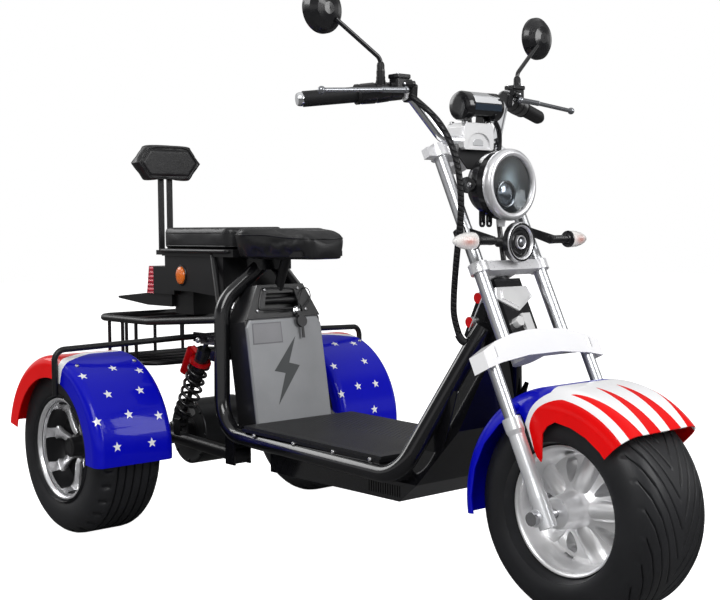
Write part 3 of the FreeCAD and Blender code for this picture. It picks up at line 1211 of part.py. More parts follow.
yoke = bridge("yoke_plate", d.yoke_height, d.yoke_thickness, d.leg_half_spacing + d.yoke_end_reach,
              d.leg_half_spacing)
middle_clamp = bridge("middle_clamp", clamp_along, d.clamp_thickness,
                      d.tube_half_spacing + d.clamp_end_reach, d.tube_half_spacing)
top_clamp = bridge("top_clamp", d.top_clamp_height, d.clamp_thickness,
                   d.tube_half_spacing + d.clamp_end_reach, d.tube_half_spacing)
pinch = box("pinch", 0, 0, 0, d.pinch_width, d.pinch_length, d.clamp_thickness)
on_fork_frame(pinch, d.top_clamp_height, d.tube_half_spacing + d.upper_tube_radius, d.leg_lead - d.pinch_width / 2)
tube_cap = fork_cylinder("tube_cap", d.top_clamp_height + d.clamp_thickness, d.tube_half_spacing, d.leg_lead,
                         d.cap_radius, d.cap_height)
stem = fork_cylinder("stem", d.yoke_height, 0, axis_ahead, d.stem_radius,
                     clamp_along + d.clamp_thickness - d.yoke_height)
clamps = fused("clamps_whole", [yoke, middle_clamp, top_clamp, stem, both_sides("pinches", pinch),
                                both_sides("tube_caps", tube_cap)])
node("fork_clamps", cut("clamps_cut", clamps, nodes["fork_tubes"]))


# White cover over the lower bridge

def arch(grow):
    """Front view of the cover over the lower bridge, drawn in by the wall where grow is negative."""
    half = d.cover_half_width + grow
    middle_share, shoulder_share, rise_share = 0.28, 0.76, 0.86
    low_rise = d.cover_middle_low - d.cover_end_low
    high_rise = d.cover_middle_high - d.cover_end_high
    right = [
        (half, d.cover_end_low), (half, d.cover_end_high + grow),
        (half * shoulder_share, d.cover_end_high + high_rise * 0.5 + grow),
        (half * middle_share * 1.6, d.cover_end_high + high_rise * rise_share + grow),
        (half * middle_share * 0.6, d.cover_middle_high + grow),
    ]
    left = [(-across, along) for across, along in reversed(right)]
    under = [
        (-half * shoulder_share, d.cover_end_low + low_rise * 0.5), (-half * middle_share, d.cover_middle_low),
        (half * middle_share, d.cover_middle_low), (half * shoulder_share, d.cover_end_low + low_rise * 0.5),
    ]
    return right + left + under


cover_body = new_body("cover")
cover_sketch = sketch(cover_body, "cover_outline", "YZ_Plane", [arch(0)])
pad(cover_body, cover_sketch, d.cover_depth, midplane=False, reverse=True)
on_fork_frame(cover_body, 0, 0, d.cover_front)
hollow_body = new_body("cover_hollow")
hollow_sketch = sketch(hollow_body, "cover_hollow_outline", "YZ_Plane", [
    [(across, along - d.cover_wall * 2 if index in (0, 9, 10, 11, 12, 13) else along)
     for index, (across, along) in enumerate(arch(-d.cover_wall))]])
pad(hollow_body, hollow_sketch, d.cover_depth + d.cut_overrun, midplane=False, reverse=True)
on_fork_frame(hollow_body, 0, 0, d.cover_front - d.cover_wall)
cover_notch = fork_cylinder("cover_notch", d.cover_middle_low, 0, axis_ahead, d.head_tube_radius + d.cover_clearance,
                            d.cover_middle_high)
node("yoke_cover", cut("cover_cut", cover_body, hollow_body, cover_notch, nodes["fork_clamps"],
                       nodes["fork_tubes"]))


# Front axle

axle_half = d.leg_half_spacing + d.slider_radius + d.axle_boss_radius / 4
axle_rod = cylinder("axle_rod", (front_axle, -axle_half, axle_up), Vector(0, 1, 0), d.front_axle_radius,
                    axle_half * 2)
axle_nut = cylinder("axle_nut", (front_axle, axle_half, axle_up), Vector(0, 1, 0), d.axle_nut_radius,
                    d.axle_nut_width)
node("front_axle", fused("front_axle_whole", [axle_rod, both_sides("axle_nuts", axle_nut)]))


# Brake disc and caliper on the left of the front wheel

disc_body = new_body("disc")
disc_sketch = sketch(disc_body, "disc_section", "YZ_Plane", [[
    (d.disc_side, d.disc_inner_radius), (d.disc_side + d.disc_thickness, d.disc_inner_radius),
    (d.disc_side + d.disc_thickness, d.disc_radius), (d.disc_side, d.disc_radius),
]])
revolution(disc_body, disc_sketch, "H_Axis")
carrier = sketch(disc_body, "disc_carrier", "YZ_Plane", [[
    (d.front_hub_width / 2, d.front_hub_radius * 0.4), (d.disc_side + d.disc_thickness, d.front_hub_radius * 0.4),
    (d.disc_side + d.disc_thickness, d.disc_inner_radius + d.disc_thickness),
    (d.disc_side, d.disc_inner_radius + d.disc_thickness), (d.front_hub_width / 2, d.front_hub_radius),
]])
revolution(disc_body, carrier, "H_Axis")
disc_hole = circle_sketch(disc_body, "disc_hole", "XZ_Plane", d.disc_hole_radius, d.disc_hole_reach)
disc_opening = pocket(disc_body, disc_hole, d.wheelbase)
around(disc_body, "disc_holes", [disc_opening], d.disc_holes)
place(disc_body, front_axle, 0, axle_up)
node("front_disc", disc_body)
caliper_near = d.disc_side - d.caliper_width / 2 + d.disc_thickness / 2
caliper = box("caliper", 0, 0, 0, d.caliper_back, d.caliper_width, d.caliper_height)
on_fork_frame(caliper, d.caliper_along, caliper_near, d.leg_lead - d.slider_radius - d.caliper_back)
caliper_slot = box("caliper_slot", 0, 0, 0, d.caliper_back + d.cut_overrun * 2,
                   d.disc_thickness + d.caliper_gap * 2,
                   d.disc_radius + d.caliper_gap - d.caliper_along + d.cut_overrun)
on_fork_frame(caliper_slot, d.caliper_along - d.cut_overrun, d.disc_side - d.caliper_gap,
              d.leg_lead - d.slider_radius - d.caliper_back - d.cut_overrun)
caliper_lug = box("caliper_lug", 0, 0, 0, d.caliper_back / 2,
                  d.leg_half_spacing - caliper_near, d.caliper_height / 4)
on_fork_frame(caliper_lug, d.caliper_along + d.caliper_height * 0.75, caliper_near + d.caliper_width / 2,
              d.leg_lead - d.slider_radius)
node("front_caliper", cut("caliper_cut", fused("caliper_whole", [cut("caliper_open", caliper, caliper_slot),
                                                                 caliper_lug]), nodes["fork_sliders"]))


# Front fender

front_sweep = d.front_fender_rear_angle - d.front_fender_front_angle
front_arch = fender("fender_front", d.front_fender_radius, -d.front_fender_half_width,
                    d.front_fender_half_width, d.front_fender_radius - d.tongue_tip_radius,
                    d.front_fender_radius - d.tongue_tip_radius, d.front_fender_front_angle, front_sweep,
                    front_axle, 1, d.front_fender_edge)
tongue_angle = float(d.tongue_tip_angle)
start_angle = float(d.tongue_start_angle)
leg_angle = float(d.leg_angle)
tip_radius, front_lip, back_lip = d.tongue_tip_radius, d.front_lip_radius, d.back_lip_radius
spare_share = 0.05
sweep = float(front_sweep)
wide_angles = (float(d.front_fender_front_angle) - sweep * spare_share,
               float(d.front_fender_rear_angle) + sweep * spare_share)
lip_line = [(wide_angles[0], front_lip)]
for share in (0.25, 0.5, 0.75, 1):
    lip_line.append((wide_angles[0] + (start_angle - wide_angles[0]) * share, front_lip))
for across_share, down_share in ((0.4, 0.14), (0.66, 0.32), (0.76, 0.6), (0.88, 0.9)):
    lip_line.append((start_angle + (tongue_angle - start_angle) * across_share,
                     front_lip - (front_lip - tip_radius) * down_share))
lip_line.append((tongue_angle, tip_radius))
for across_share, up_share in ((0.4, 0.1), (0.64, 0.33), (0.72, 0.6), (0.84, 0.88), (1, 0.97)):
    lip_line.append((tongue_angle + (leg_angle - tongue_angle) * across_share,
                     tip_radius + (back_lip - tip_radius) * up_share))
for share in (0.2, 0.4, 0.6, 0.8, 1):
    lip_line.append((leg_angle + (wide_angles[1] - leg_angle) * share, back_lip))
lip_line.append((270, tip_radius / 2))
lip_body = new_body("fender_opening")
lip_sketch = sketch(lip_body, "fender_opening_outline", "XZ_Plane", [[
    (radius * math.cos(math.radians(angle)), radius * math.sin(math.radians(angle))) for angle, radius in lip_line
]])
pad(lip_body, lip_sketch, d.front_fender_half_width * 2 + d.cut_overrun * 2)
place(lip_body, front_axle, 0, axle_up)
front_fender = cut("front_fender_trimmed", front_arch, lip_body)
lug_share = 0.2
lug_side = d.front_fender_half_width - d.front_fender_edge * lug_share
fender_stay = cylinder("fender_lug", on_fork((d.front_fender_radius + d.back_lip_radius) / 2 - d.front_axle_radius,
                                             lug_side, d.leg_lead),
                       Vector(0, 1, 0), d.front_axle_radius,
                       d.leg_half_spacing - d.stanchion_radius - lug_side + d.fit_gap * 3)
node("front_fender", cut("front_fender_cut", fused("front_fender_whole", [front_fender,
                         both_sides("fender_lugs", fender_stay)]), nodes["fork_tubes"]))


# Handlebar and riser

clamp_top = on_fork(d.top_clamp_height + d.clamp_thickness, 0, d.leg_lead)
bar_end_forward, bar_end_up = clamp_top[0] - d.bar_end_set_back, clamp_top[2] + d.bar_end_rise
bar_bend_forward, bar_bend_up = clamp_top[0] - d.bar_bend_set_back, clamp_top[2] + d.bar_bend_rise
bar_foot_forward, bar_foot_up = clamp_top[0] + d.bar_foot_lead, clamp_top[2] + d.bar_foot_rise
bar_points = [
    (bar_end_forward, d.bar_end_side, bar_end_up), (bar_bend_forward, d.bar_bend_side, bar_bend_up),
    (bar_foot_forward, d.bar_foot_side, bar_foot_up), (bar_foot_forward, -d.bar_foot_side, bar_foot_up),
    (bar_bend_forward, -d.bar_bend_side, bar_bend_up), (bar_end_forward, -d.bar_end_side, bar_end_up),
]
bar_tube = pipe("bar", bar_points, [d.bar_bend] * 4, d.bar_radius)
bar_outward = (vector(bar_points[0]) - vector(bar_points[1])).normalize()
bar_cap = cylinder("bar_cap", bar_points[0], bar_outward, d.bar_cap_radius, d.bar_cap_length)
bar_dome = doc.addObject("Part::Sphere", "bar_dome")
bind(bar_dome, "Radius", d.bar_cap_radius)
place(bar_dome, *(vector(bar_points[0]) + bar_outward * float(d.bar_cap_length * 0.4)))
bar_caps = both_sides("bar_caps", common("bar_cap_round", [bar_cap, bar_dome]))
handlebar = node("handlebar", cut("bar_trimmed", fused("bar_whole", [bar_tube, bar_caps]), nodes["fork_clamps"],
                                  nodes["fork_tubes"]))
riser_body = new_body("riser")
riser_half, riser_cut = d.riser_width / 2, d.riser_chamfer
riser_sketch = sketch(riser_body, "riser_front", "YZ_Plane", [[
    (-riser_half + riser_cut * 0.5, 0), (riser_half - riser_cut * 0.5, 0), (riser_half, riser_cut),
    (riser_half, d.riser_height - riser_cut), (riser_half - riser_cut, d.riser_height),
    (-riser_half + riser_cut, d.riser_height), (-riser_half, d.riser_height - riser_cut), (-riser_half, riser_cut),
]])
pad(riser_body, riser_sketch, d.riser_length)
riser_groove = sketch(riser_body, "riser_groove", "XZ_Plane", [[
    (d.riser_length * 0.42, d.riser_height * 0.24), (d.riser_length, d.riser_height * 0.3),
    (d.riser_length, d.riser_height * 0.7), (d.riser_length * 0.42, d.riser_height * 0.76),
]])
pocket(riser_body, riser_groove, d.riser_width * 0.6)
place(riser_body, bar_foot_forward, 0, clamp_top[2])
node("handlebar_riser", cut("riser_cut", riser_body, handlebar, nodes["fork_clamps"], nodes["fork_tubes"]))

bar_end, bar_inner = vector(bar_points[0]), vector(bar_points[1])
bar_line = (bar_inner - bar_end).normalize()


def on_bar(name, start, length, radius):
    """Sleeve around the left end of the handlebar, from a distance along it."""
    outer = cylinder(name + "_outer", tuple(bar_end + bar_line * float(measure(start))), bar_line, radius, length)
    return cut(name, outer, bar_tube)


grip_sleeve = on_bar("grip_sleeve", 0, d.grip_length - d.grip_flange_width, d.grip_radius)
grip_flange = on_bar("grip_flange", d.grip_length - d.grip_flange_width, d.grip_flange_width, d.grip_flange)
grip = fused("grip", [grip_sleeve, grip_flange])
node("grips", both_sides("grip_pair", grip))
switch = on_bar("switch", d.grip_length, d.switch_length, d.switch_radius)
perch_middle = bar_end + bar_line * float(d.grip_length + d.switch_length + d.perch_width / 2)
perch = on_bar("perch", d.grip_length + d.switch_length, d.perch_width, d.perch_radius)
lever_root = vector((measure(perch_middle.x) + d.lever_pivot_ahead, perch_middle.y, perch_middle.z))
perch_arm = rod("perch_arm", tuple(perch_middle + Vector(float(d.bar_radius + d.fit_gap), 0, 0)), tuple(lever_root),
                d.lever_radius * 1.5)
lever_tip = vector((bar_end_forward + d.lever_tip_lead, d.bar_end_side + d.lever_tip_reach,
                    bar_end_up + d.lever_tip_rise))
lever_knee = lever_root + (lever_tip - lever_root) * float(d.lever_bend_share) + Vector(float(d.lever_radius), 0, 0)
lever_near = rod("lever_near", tuple(lever_root), tuple(lever_knee), d.lever_radius * 1.25)
lever_far = rod("lever_far", tuple(lever_knee), tuple(lever_tip), d.lever_radius)


def ball(name, middle, radius):
    solid = doc.addObject("Part::Sphere", name)
    bind(solid, "Radius", radius)
    place(solid, *middle)
    return solid


tank_body = new_body("reservoir")
tank_sketch = sketch(tank_body, "reservoir_outline", "XY_Plane", [[
    (0, 0), (d.reservoir_width, 0), (d.reservoir_width, d.reservoir_length), (0, d.reservoir_length),
]])
tank_pad = pad(tank_body, tank_sketch, d.reservoir_height, midplane=False)
tank_round = round_edges(tank_body, tank_pad, d.reservoir_corner, upright_edge)
tank_body.Tip = tank_round
place(tank_body, measure(lever_root.x) - d.reservoir_width, measure(perch_middle.y) - d.reservoir_length * 0.8,
      measure(perch_middle.z) + d.perch_radius * 0.6)
perch_whole = cut("perch_cut", fused("perch_whole", [switch, perch, perch_arm, tank_body]), bar_tube)
node("switchgear", both_sides("switch_pair", perch_whole))
lever_whole = cut("lever_cut", fused("lever_whole", [
    lever_near, lever_far, ball("lever_ball", lever_tip, d.lever_ball_radius),
    ball("lever_elbow", lever_knee, d.lever_radius * 1.3), ball("lever_pivot", lever_root, d.lever_radius * 1.6),
]), perch_whole)
node("brake_levers", both_sides("lever_pair", lever_whole))


# Mirrors

mirror_base = (bar_bend_forward - d.mirror_base_set_back, d.mirror_base_side, bar_bend_up - d.mirror_base_drop)
mirror_forward, mirror_up = bar_end_forward + d.mirror_lead, bar_end_up + d.mirror_rise
mirror_stem = pipe("mirror_stem", [
    mirror_base, (mirror_base[0], mirror_base[1], mirror_base[2] + d.mirror_stem_rise),
    (mirror_forward + d.mirror_depth * 0.8, d.mirror_side - d.mirror_radius * 0.4,
     mirror_up - d.mirror_radius * 0.4),
], [d.mirror_bend], d.mirror_stem_radius)
mirror_knuckle = cylinder("mirror_knuckle", mirror_base, Vector(0, 0, 1), d.mirror_knuckle_radius,
                          d.mirror_knuckle_height)
mirror_shell = facing_piece("mirror_shell", [
    (0, 0), (d.mirror_depth, 0), (d.mirror_depth * 0.97, d.mirror_radius * 0.25),
    (d.mirror_depth * 0.82, d.mirror_radius * 0.55), (d.mirror_depth * 0.5, d.mirror_radius * 0.85),
    (d.mirror_depth * 0.18, d.mirror_radius), (-d.mirror_rim, d.mirror_radius),
    (-d.mirror_rim, d.mirror_radius - d.mirror_rim), (0, d.mirror_radius - d.mirror_rim),
], mirror_forward, d.mirror_side, mirror_up)
node("mirrors", both_sides("mirror_pair", cut("mirror_cut", fused("mirror_whole", [
    mirror_stem, mirror_knuckle, mirror_shell]), bar_tube, perch_whole)))
mirror_glass = cylinder("mirror_glass", (mirror_forward - d.mirror_rim * 0.8, d.mirror_side, mirror_up),
                        Vector(1, 0, 0), d.mirror_radius - d.mirror_rim, d.mirror_rim * 0.8)
node("mirror_glasses", both_sides("mirror_glass_pair", mirror_glass))


# Meter, headlamp, horn and front signals

meter = new_body("meter")
meter_sketch = sketch(meter, "meter_side", "XZ_Plane", [[
    (-d.meter_length / 2, -d.meter_height / 2), (d.meter_length / 2, -d.meter_height / 2),
    (d.meter_length / 2, d.meter_height / 2), (-d.meter_length / 2, d.meter_height / 2),
]])
meter_pad = pad(meter, meter_sketch, d.meter_width)
meter_round = round_edges(meter, meter_pad, d.meter_corner, lambda edge: edge.BoundBox.YLength > 1)
meter.Tip = meter_round
meter_side = float(d.meter_width / 2)
meter_soft = round_edges(meter, meter_round, d.meter_edge, lambda edge: abs(edge.BoundBox.YMin) > meter_side * 0.99
                         and edge.BoundBox.YLength < meter_side * 0.01)
meter.Tip = meter_soft
meter_up = clamp_top[2] + d.riser_height + d.meter_rise
place(meter, bar_foot_forward + d.meter_lead, 0, meter_up)
meter_foot = box("meter_foot", bar_foot_forward - d.meter_foot_length / 2, -d.meter_foot_width / 2,
                 clamp_top[2] + d.riser_height, d.meter_foot_length, d.meter_foot_width, d.meter_rise)
node("speedometer", cut("meter_cut", fused("meter_whole", [meter, meter_foot]), nodes["handlebar_riser"], handlebar))
headlamp_place = on_fork(clamp_along + d.headlamp_rise, 0, d.headlamp_ahead)
horn_place = on_fork(clamp_along + d.horn_rise, 0, d.horn_ahead)
signal_place = on_fork(clamp_along + d.signal_rise, 0, d.signal_ahead)
bowl = facing_piece("bowl", [
    (0, 0), (0, d.headlamp_radius - d.bezel_lip), (-d.headlamp_depth * 0.2, d.headlamp_radius * 0.97),
    (-d.headlamp_depth * 0.45, d.headlamp_radius * 0.9), (-d.headlamp_depth * 0.7, d.headlamp_radius * 0.74),
    (-d.headlamp_depth * 0.9, d.headlamp_back_radius), (-d.headlamp_depth, d.headlamp_back_radius / 2),
    (-d.headlamp_depth, 0),
], *headlamp_place)
node("headlamp_bowl", cut("bowl_cut", bowl, nodes["fork_clamps"], nodes["fork_tubes"]))
glass_radius = d.headlamp_radius - d.bezel_width
bezel = facing_piece("bezel", [
    (0, glass_radius), (d.bezel_depth * 0.5, glass_radius), (d.bezel_depth * 0.85, d.headlamp_radius * 0.86),
    (d.bezel_depth, d.headlamp_radius * 0.91), (d.bezel_depth * 0.85, d.headlamp_radius * 0.965),
    (d.bezel_depth * 0.45, d.headlamp_radius), (0, d.headlamp_radius - d.bezel_lip / 2),
], *headlamp_place)
node("headlamp_bezel", bezel)
glass = facing_piece("glass", [
    (0, 0), (d.bezel_depth * 0.75, 0), (d.bezel_depth * 0.68, glass_radius * 0.45),
    (d.bezel_depth * 0.46, glass_radius * 0.8), (d.bezel_depth * 0.2, glass_radius), (0, glass_radius),
], *headlamp_place)
node("headlamp_lens", glass)
horn = facing_piece("horn_piece", [
    (0, 0), (0, d.horn_radius * 0.16), (-d.horn_ring, d.horn_radius * 0.22), (-d.horn_ring, d.horn_radius * 0.4),
    (0, d.horn_radius * 0.46), (0, d.horn_radius * 0.56), (-d.horn_ring, d.horn_radius * 0.62),
    (-d.horn_ring, d.horn_radius * 0.8), (d.horn_ring, d.horn_radius * 0.86), (d.horn_ring, d.horn_radius * 0.95),
    (0, d.horn_radius), (-d.horn_depth * 0.4, d.horn_radius), (-d.horn_depth * 0.55, d.horn_radius * 0.8),
    (-d.horn_depth, d.horn_radius / 2), (-d.horn_depth, 0),
], *horn_place)
bracket_ahead = d.leg_lead + d.upper_tube_radius
bracket_plate = box("bracket_plate", 0, 0, 0, d.bracket_wall, (d.lamp_tab_side + d.bracket_wall) * 2,
                    d.lamp_bracket_height)
on_fork_frame(bracket_plate, clamp_along + d.lamp_bracket_rise, -d.lamp_tab_side - d.bracket_wall, bracket_ahead)
tab = box("lamp_tab", signal_place[0] - d.lamp_tab_reach, d.lamp_tab_side,
          signal_place[2] - d.lamp_tab_height / 2, d.lamp_tab_reach + d.signal_stalk_radius * 1.5, d.bracket_wall,
          d.lamp_tab_height)
tube_forward = on_fork(clamp_along + d.headlamp_rise, 0, d.leg_lead)[0]
ear_front = headlamp_place[0] - d.ear_set_back
ear = box("lamp_ear", tube_forward, d.ear_side, headlamp_place[2] - d.ear_height / 2, ear_front - tube_forward,
          d.bracket_wall, d.ear_height)
ear_bolt = cylinder("ear_bolt", (ear_front - d.ear_bolt_radius * 2, d.headlamp_back_radius, headlamp_place[2]),
                    Vector(0, 1, 0), d.ear_bolt_radius, d.ear_side - d.headlamp_back_radius)
lamp_bracket = fused("lamp_bracket_whole", [bracket_plate, both_sides("lamp_side_pieces", fused("lamp_side_piece",
                                            [tab, ear, ear_bolt]))])
horn_boss = cylinder("horn_boss", (horn_place[0] - d.horn_depth, 0, horn_place[2]), Vector(-1, 0, 0),
                     d.horn_boss_radius, d.horn_depth)
node("horn", cut("horn_cut", fused("horn_whole", [horn, horn_boss]), bracket_plate, nodes["fork_clamps"]))
stalk_ring, stalk_low = d.signal_stalk_radius, d.signal_stalk_radius * 0.78
stalk_outline = [(0, 0)]
for ring in range(int(float(d.signal_ring_count))):
    start = d.signal_stalk_length * ring / d.signal_ring_count
    step = d.signal_stalk_length / d.signal_ring_count
    stalk_outline += [(start, stalk_ring), (start + step * 0.6, stalk_ring), (start + step * 0.6, stalk_low),
                      (start + step, stalk_low)]
stalk_outline.append((d.signal_stalk_length, 0))
tab_face = d.lamp_tab_side + d.bracket_wall
signal_stalk = turned_piece("signal_stalk", stalk_outline, signal_place[0], tab_face, signal_place[2])
signal_base = turned_piece("signal_base", [
    (0, 0), (0, d.signal_radius * 0.7), (d.signal_base_length * 0.5, d.signal_radius),
    (d.signal_base_length, d.signal_radius), (d.signal_base_length, 0),
], signal_place[0], tab_face + d.signal_stalk_length, signal_place[2])
signal_mounts = both_sides("signal_mount_pair", fused("signal_mount", [signal_stalk, signal_base]))
node("lamp_bracket", cut("lamp_bracket_cut", fused("lamp_bracket_full", [lamp_bracket, signal_mounts]),
                         nodes["fork_tubes"], nodes["headlamp_bowl"]))
signal_lens = turned_piece("signal_lens", [
    (0, 0), (0, d.signal_radius * 0.95), (d.signal_length * 0.25, d.signal_radius * 0.96),
    (d.signal_length * 0.55, d.signal_radius * 0.74), (d.signal_length * 0.8, d.signal_radius * 0.4),
    (d.signal_length, d.signal_radius * 0.08), (d.signal_length, 0),
], signal_place[0], tab_face + d.signal_stalk_length + d.signal_base_length, signal_place[2])
node("signal_lenses", both_sides("signal_lens_pair", signal_lens))


# Wiring harness from the right control down to the neck

harness_count = sum(name.startswith("harness_up_") for name in SIZES)
harness_points = [
    at(*(getattr(d, f"harness_{way}_{step + 1}") for way in ("forward", "side", "up"))) for step in range(harness_count)
]
harness_bend_share = 0.45
harness_bends = []
corners = [vector(point) for point in harness_points]
for before, corner, after in zip(corners, corners[1:], corners[2:]):
    shorter = min((corner - before).Length, (after - corner).Length)
    harness_bends.append(shorter * harness_bend_share / math.tan((corner - before).getAngle(after - corner) / 2))
harness = pipe("harness", harness_points, harness_bends, d.harness_radius)
node("control_harness", harness)


# Checks and output

doc.recompute()
for thing in doc.Objects:
    if "Invalid" in thing.State or "Error" in thing.State:
        raise RuntimeError(f"{thing.Label} failed: {thing.State}")
for name, thing in nodes.items():
    if thing.Shape.isNull() or not thing.Shape.isValid():
        raise RuntimeError(f"{name} has no valid shape")

os.makedirs("parts", exist_ok=True)
for name, thing in nodes.items():
    thing.Shape.exportStep(f"parts/{name}.step")
print(len(nodes), "nodes written")
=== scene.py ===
import math

import bpy
from mathutils import Matrix, Vector


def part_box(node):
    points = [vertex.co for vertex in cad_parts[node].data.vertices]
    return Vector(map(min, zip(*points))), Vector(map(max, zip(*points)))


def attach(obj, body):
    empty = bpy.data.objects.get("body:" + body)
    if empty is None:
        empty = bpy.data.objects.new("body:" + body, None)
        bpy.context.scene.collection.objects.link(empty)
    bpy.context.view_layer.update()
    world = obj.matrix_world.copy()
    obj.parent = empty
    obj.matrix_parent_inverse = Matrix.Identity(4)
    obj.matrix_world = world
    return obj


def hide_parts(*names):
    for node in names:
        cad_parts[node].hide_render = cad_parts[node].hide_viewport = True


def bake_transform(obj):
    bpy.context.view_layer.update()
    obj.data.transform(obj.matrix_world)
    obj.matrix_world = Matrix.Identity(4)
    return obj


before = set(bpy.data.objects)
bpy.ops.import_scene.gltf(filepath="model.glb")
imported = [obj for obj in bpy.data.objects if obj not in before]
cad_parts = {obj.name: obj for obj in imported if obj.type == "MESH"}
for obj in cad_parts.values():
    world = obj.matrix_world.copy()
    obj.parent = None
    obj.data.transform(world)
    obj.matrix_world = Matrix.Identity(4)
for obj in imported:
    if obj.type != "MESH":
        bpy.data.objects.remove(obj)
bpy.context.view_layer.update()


# Tyres
# Three fat tubeless tyres of black rubber, moulded in one piece. The front one has swept grooves,
# the rear ones have grooves that run around the tread.

def finish(name, colour, rough, metal=0.0, grain=300.0, relief=0.00006, uneven=0.05, lacquer=0.0, shade=0.08,
           shine=0.5):
    """A finish with cloudy shade, uneven gloss and a fine grain that stands out of the surface."""
    material = bpy.data.materials.new(name)
    material.use_nodes = True
    nodes, links = material.node_tree.nodes, material.node_tree.links
    shader = nodes["Principled BSDF"]
    shader.inputs["Metallic"].default_value = metal
    shader.inputs["Coat Weight"].default_value = lacquer
    shader.inputs["Specular IOR Level"].default_value = shine
    shader.inputs["Coat Roughness"].default_value = 0.04
    where = nodes.new("ShaderNodeTexCoord")
    clouds = nodes.new("ShaderNodeTexNoise")
    clouds.inputs["Scale"].default_value = 9.0
    clouds.inputs["Detail"].default_value = 5.0
    tones = nodes.new("ShaderNodeValToRGB")
    tones.name = "Tones"
    tones.color_ramp.elements[0].position = 0.3
    tones.color_ramp.elements[1].position = 0.7
    tones.color_ramp.elements[0].color = [part * (1 - shade) for part in colour] + [1]
    tones.color_ramp.elements[1].color = [min(1, part * (1 + shade)) for part in colour] + [1]
    fine = nodes.new("ShaderNodeTexNoise")
    fine.name = "Grain"
    fine.inputs["Scale"].default_value = grain
    fine.inputs["Detail"].default_value = 3.0
    gloss = nodes.new("ShaderNodeMapRange")
    gloss.inputs["To Min"].default_value = max(0.02, rough - uneven)
    gloss.inputs["To Max"].default_value = rough + uneven
    bump = nodes.new("ShaderNodeBump")
    bump.name = "Relief"
    bump.inputs["Strength"].default_value = 0.6
    bump.inputs["Distance"].default_value = relief
    links.new(where.outputs["Object"], clouds.inputs["Vector"])
    links.new(where.outputs["Object"], fine.inputs["Vector"])
    links.new(clouds.outputs["Fac"], tones.inputs["Fac"])
    links.new(tones.outputs["Color"], shader.inputs["Base Color"])
    links.new(fine.outputs["Fac"], gloss.inputs["Value"])
    links.new(gloss.outputs["Result"], shader.inputs["Roughness"])
    links.new(fine.outputs["Fac"], bump.inputs["Height"])
    links.new(bump.outputs["Normal"], shader.inputs["Normal"])
    return material


def settle(piece, name, material, slot, body, *nodes):
    """Names a finished piece and gives it its finish, its body and the CAD pieces it stands for; its slot is not used.
    """
    piece.name = name
    piece.data.name = name
    piece.data.materials.clear()
    piece.data.materials.append(material)
    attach(piece, body)
    if nodes:
        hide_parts(*nodes)
    return piece


def seamless(angle=35):
    """Closes the seams of the piece in hand, turns its faces outwards and smooths it."""
    bpy.ops.object.mode_set(mode="EDIT")
    bpy.ops.mesh.select_all(action="SELECT")
    bpy.ops.mesh.remove_doubles(threshold=0.00002)
    bpy.ops.mesh.normals_make_consistent(inside=False)
    bpy.ops.object.mode_set(mode="OBJECT")
    bpy.ops.object.shade_smooth_by_angle(angle=math.radians(angle))
    return bpy.context.object


def traced(points):
    """Draws a line of edges through the points, one after the other, and leaves it selected."""
    bpy.ops.object.select_all(action="DESELECT")
    bpy.ops.mesh.primitive_plane_add(size=0.001)
    bpy.ops.object.mode_set(mode="EDIT")
    bpy.ops.mesh.select_mode(type="VERT")
    bpy.ops.mesh.merge(type="CENTER")
    bpy.ops.transform.translate(value=points[0])
    for here, there in zip(points, points[1:]):
        bpy.ops.mesh.extrude_region_move(TRANSFORM_OT_translate={"value": Vector(there) - Vector(here)})
    bpy.ops.mesh.select_all(action="SELECT")


def turned(outline, middle, axis, steps=96, sweep=None):
    """A piece turned about an axis. The outline gives places along the axis with their radius."""
    axis, middle = Vector(axis).normalized(), Vector(middle)
    out = axis.orthogonal().normalized()
    traced([middle + axis * along + Matrix.Rotation(sweep(along) if sweep else 0.0, 3, axis) @ out * radius
            for along, radius in outline])
    bpy.ops.mesh.spin(steps=steps, angle=math.tau, center=middle, axis=axis)
    bpy.ops.object.mode_set(mode="OBJECT")
    return seamless()


def pick(piece, wanted):
    """Selects the faces whose middle and normal pass a test, and nothing else."""
    bpy.ops.object.mode_set(mode="EDIT")
    bpy.ops.mesh.select_mode(type="FACE")
    bpy.ops.mesh.select_all(action="DESELECT")
    bpy.ops.object.mode_set(mode="OBJECT")
    for face in piece.data.polygons:
        face.select = bool(wanted(face.center, face.normal))
    bpy.ops.object.mode_set(mode="EDIT")


def middle_of(node):
    """The middle of a CAD piece's box."""
    low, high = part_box(node)
    return (low + high) / 2


origin, x_axis, y_axis, z_axis = Vector(), (1, 0, 0), (0, 1, 0), (0, 0, 1)
hands = (("right", -1), ("left", 1))
tyre_rubber = finish("tyre_rubber", (0.0125, 0.0128, 0.0145), 0.42, grain=900, relief=0.00012, uneven=0.09, shade=0.2,
                     shine=0.28)
front_middle = middle_of("front_tyre")
tyre_radius = (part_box("front_tyre")[1].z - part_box("front_tyre")[0].z) / 2
front_steps, rear_steps = 168, 120


def tread_outline(half, shoulder, rows, bead):
    """Half width, shoulder rounding and rows of the tread, out to the bead on both sides."""
    crown, flat = tyre_radius, half - shoulder
    right = [(flat * row / rows, crown) for row in range(rows + 1)]
    for turn in (15, 30, 45, 60, 75, 90):
        angle = math.radians(turn)
        right.append((flat + shoulder * math.sin(angle), crown - shoulder + shoulder * math.cos(angle)))
    right += [(half - 0.001, 0.153), (half - 0.006, 0.1455), (half - 0.0065, 0.1445), (bead + 0.014, 0.1405),
              (bead + 0.004, 0.1385), (bead - 0.001, 0.1352), (bead - 0.002, 0.129)]
    return [(-side, radius) for side, radius in reversed(right[1:])] + right


def tread_sweep(along):
    """How far a tread block lags behind the middle of the tyre at a distance from it."""
    return math.radians(64) * (1 - min(1, abs(along) / 0.1) ** 1.15)


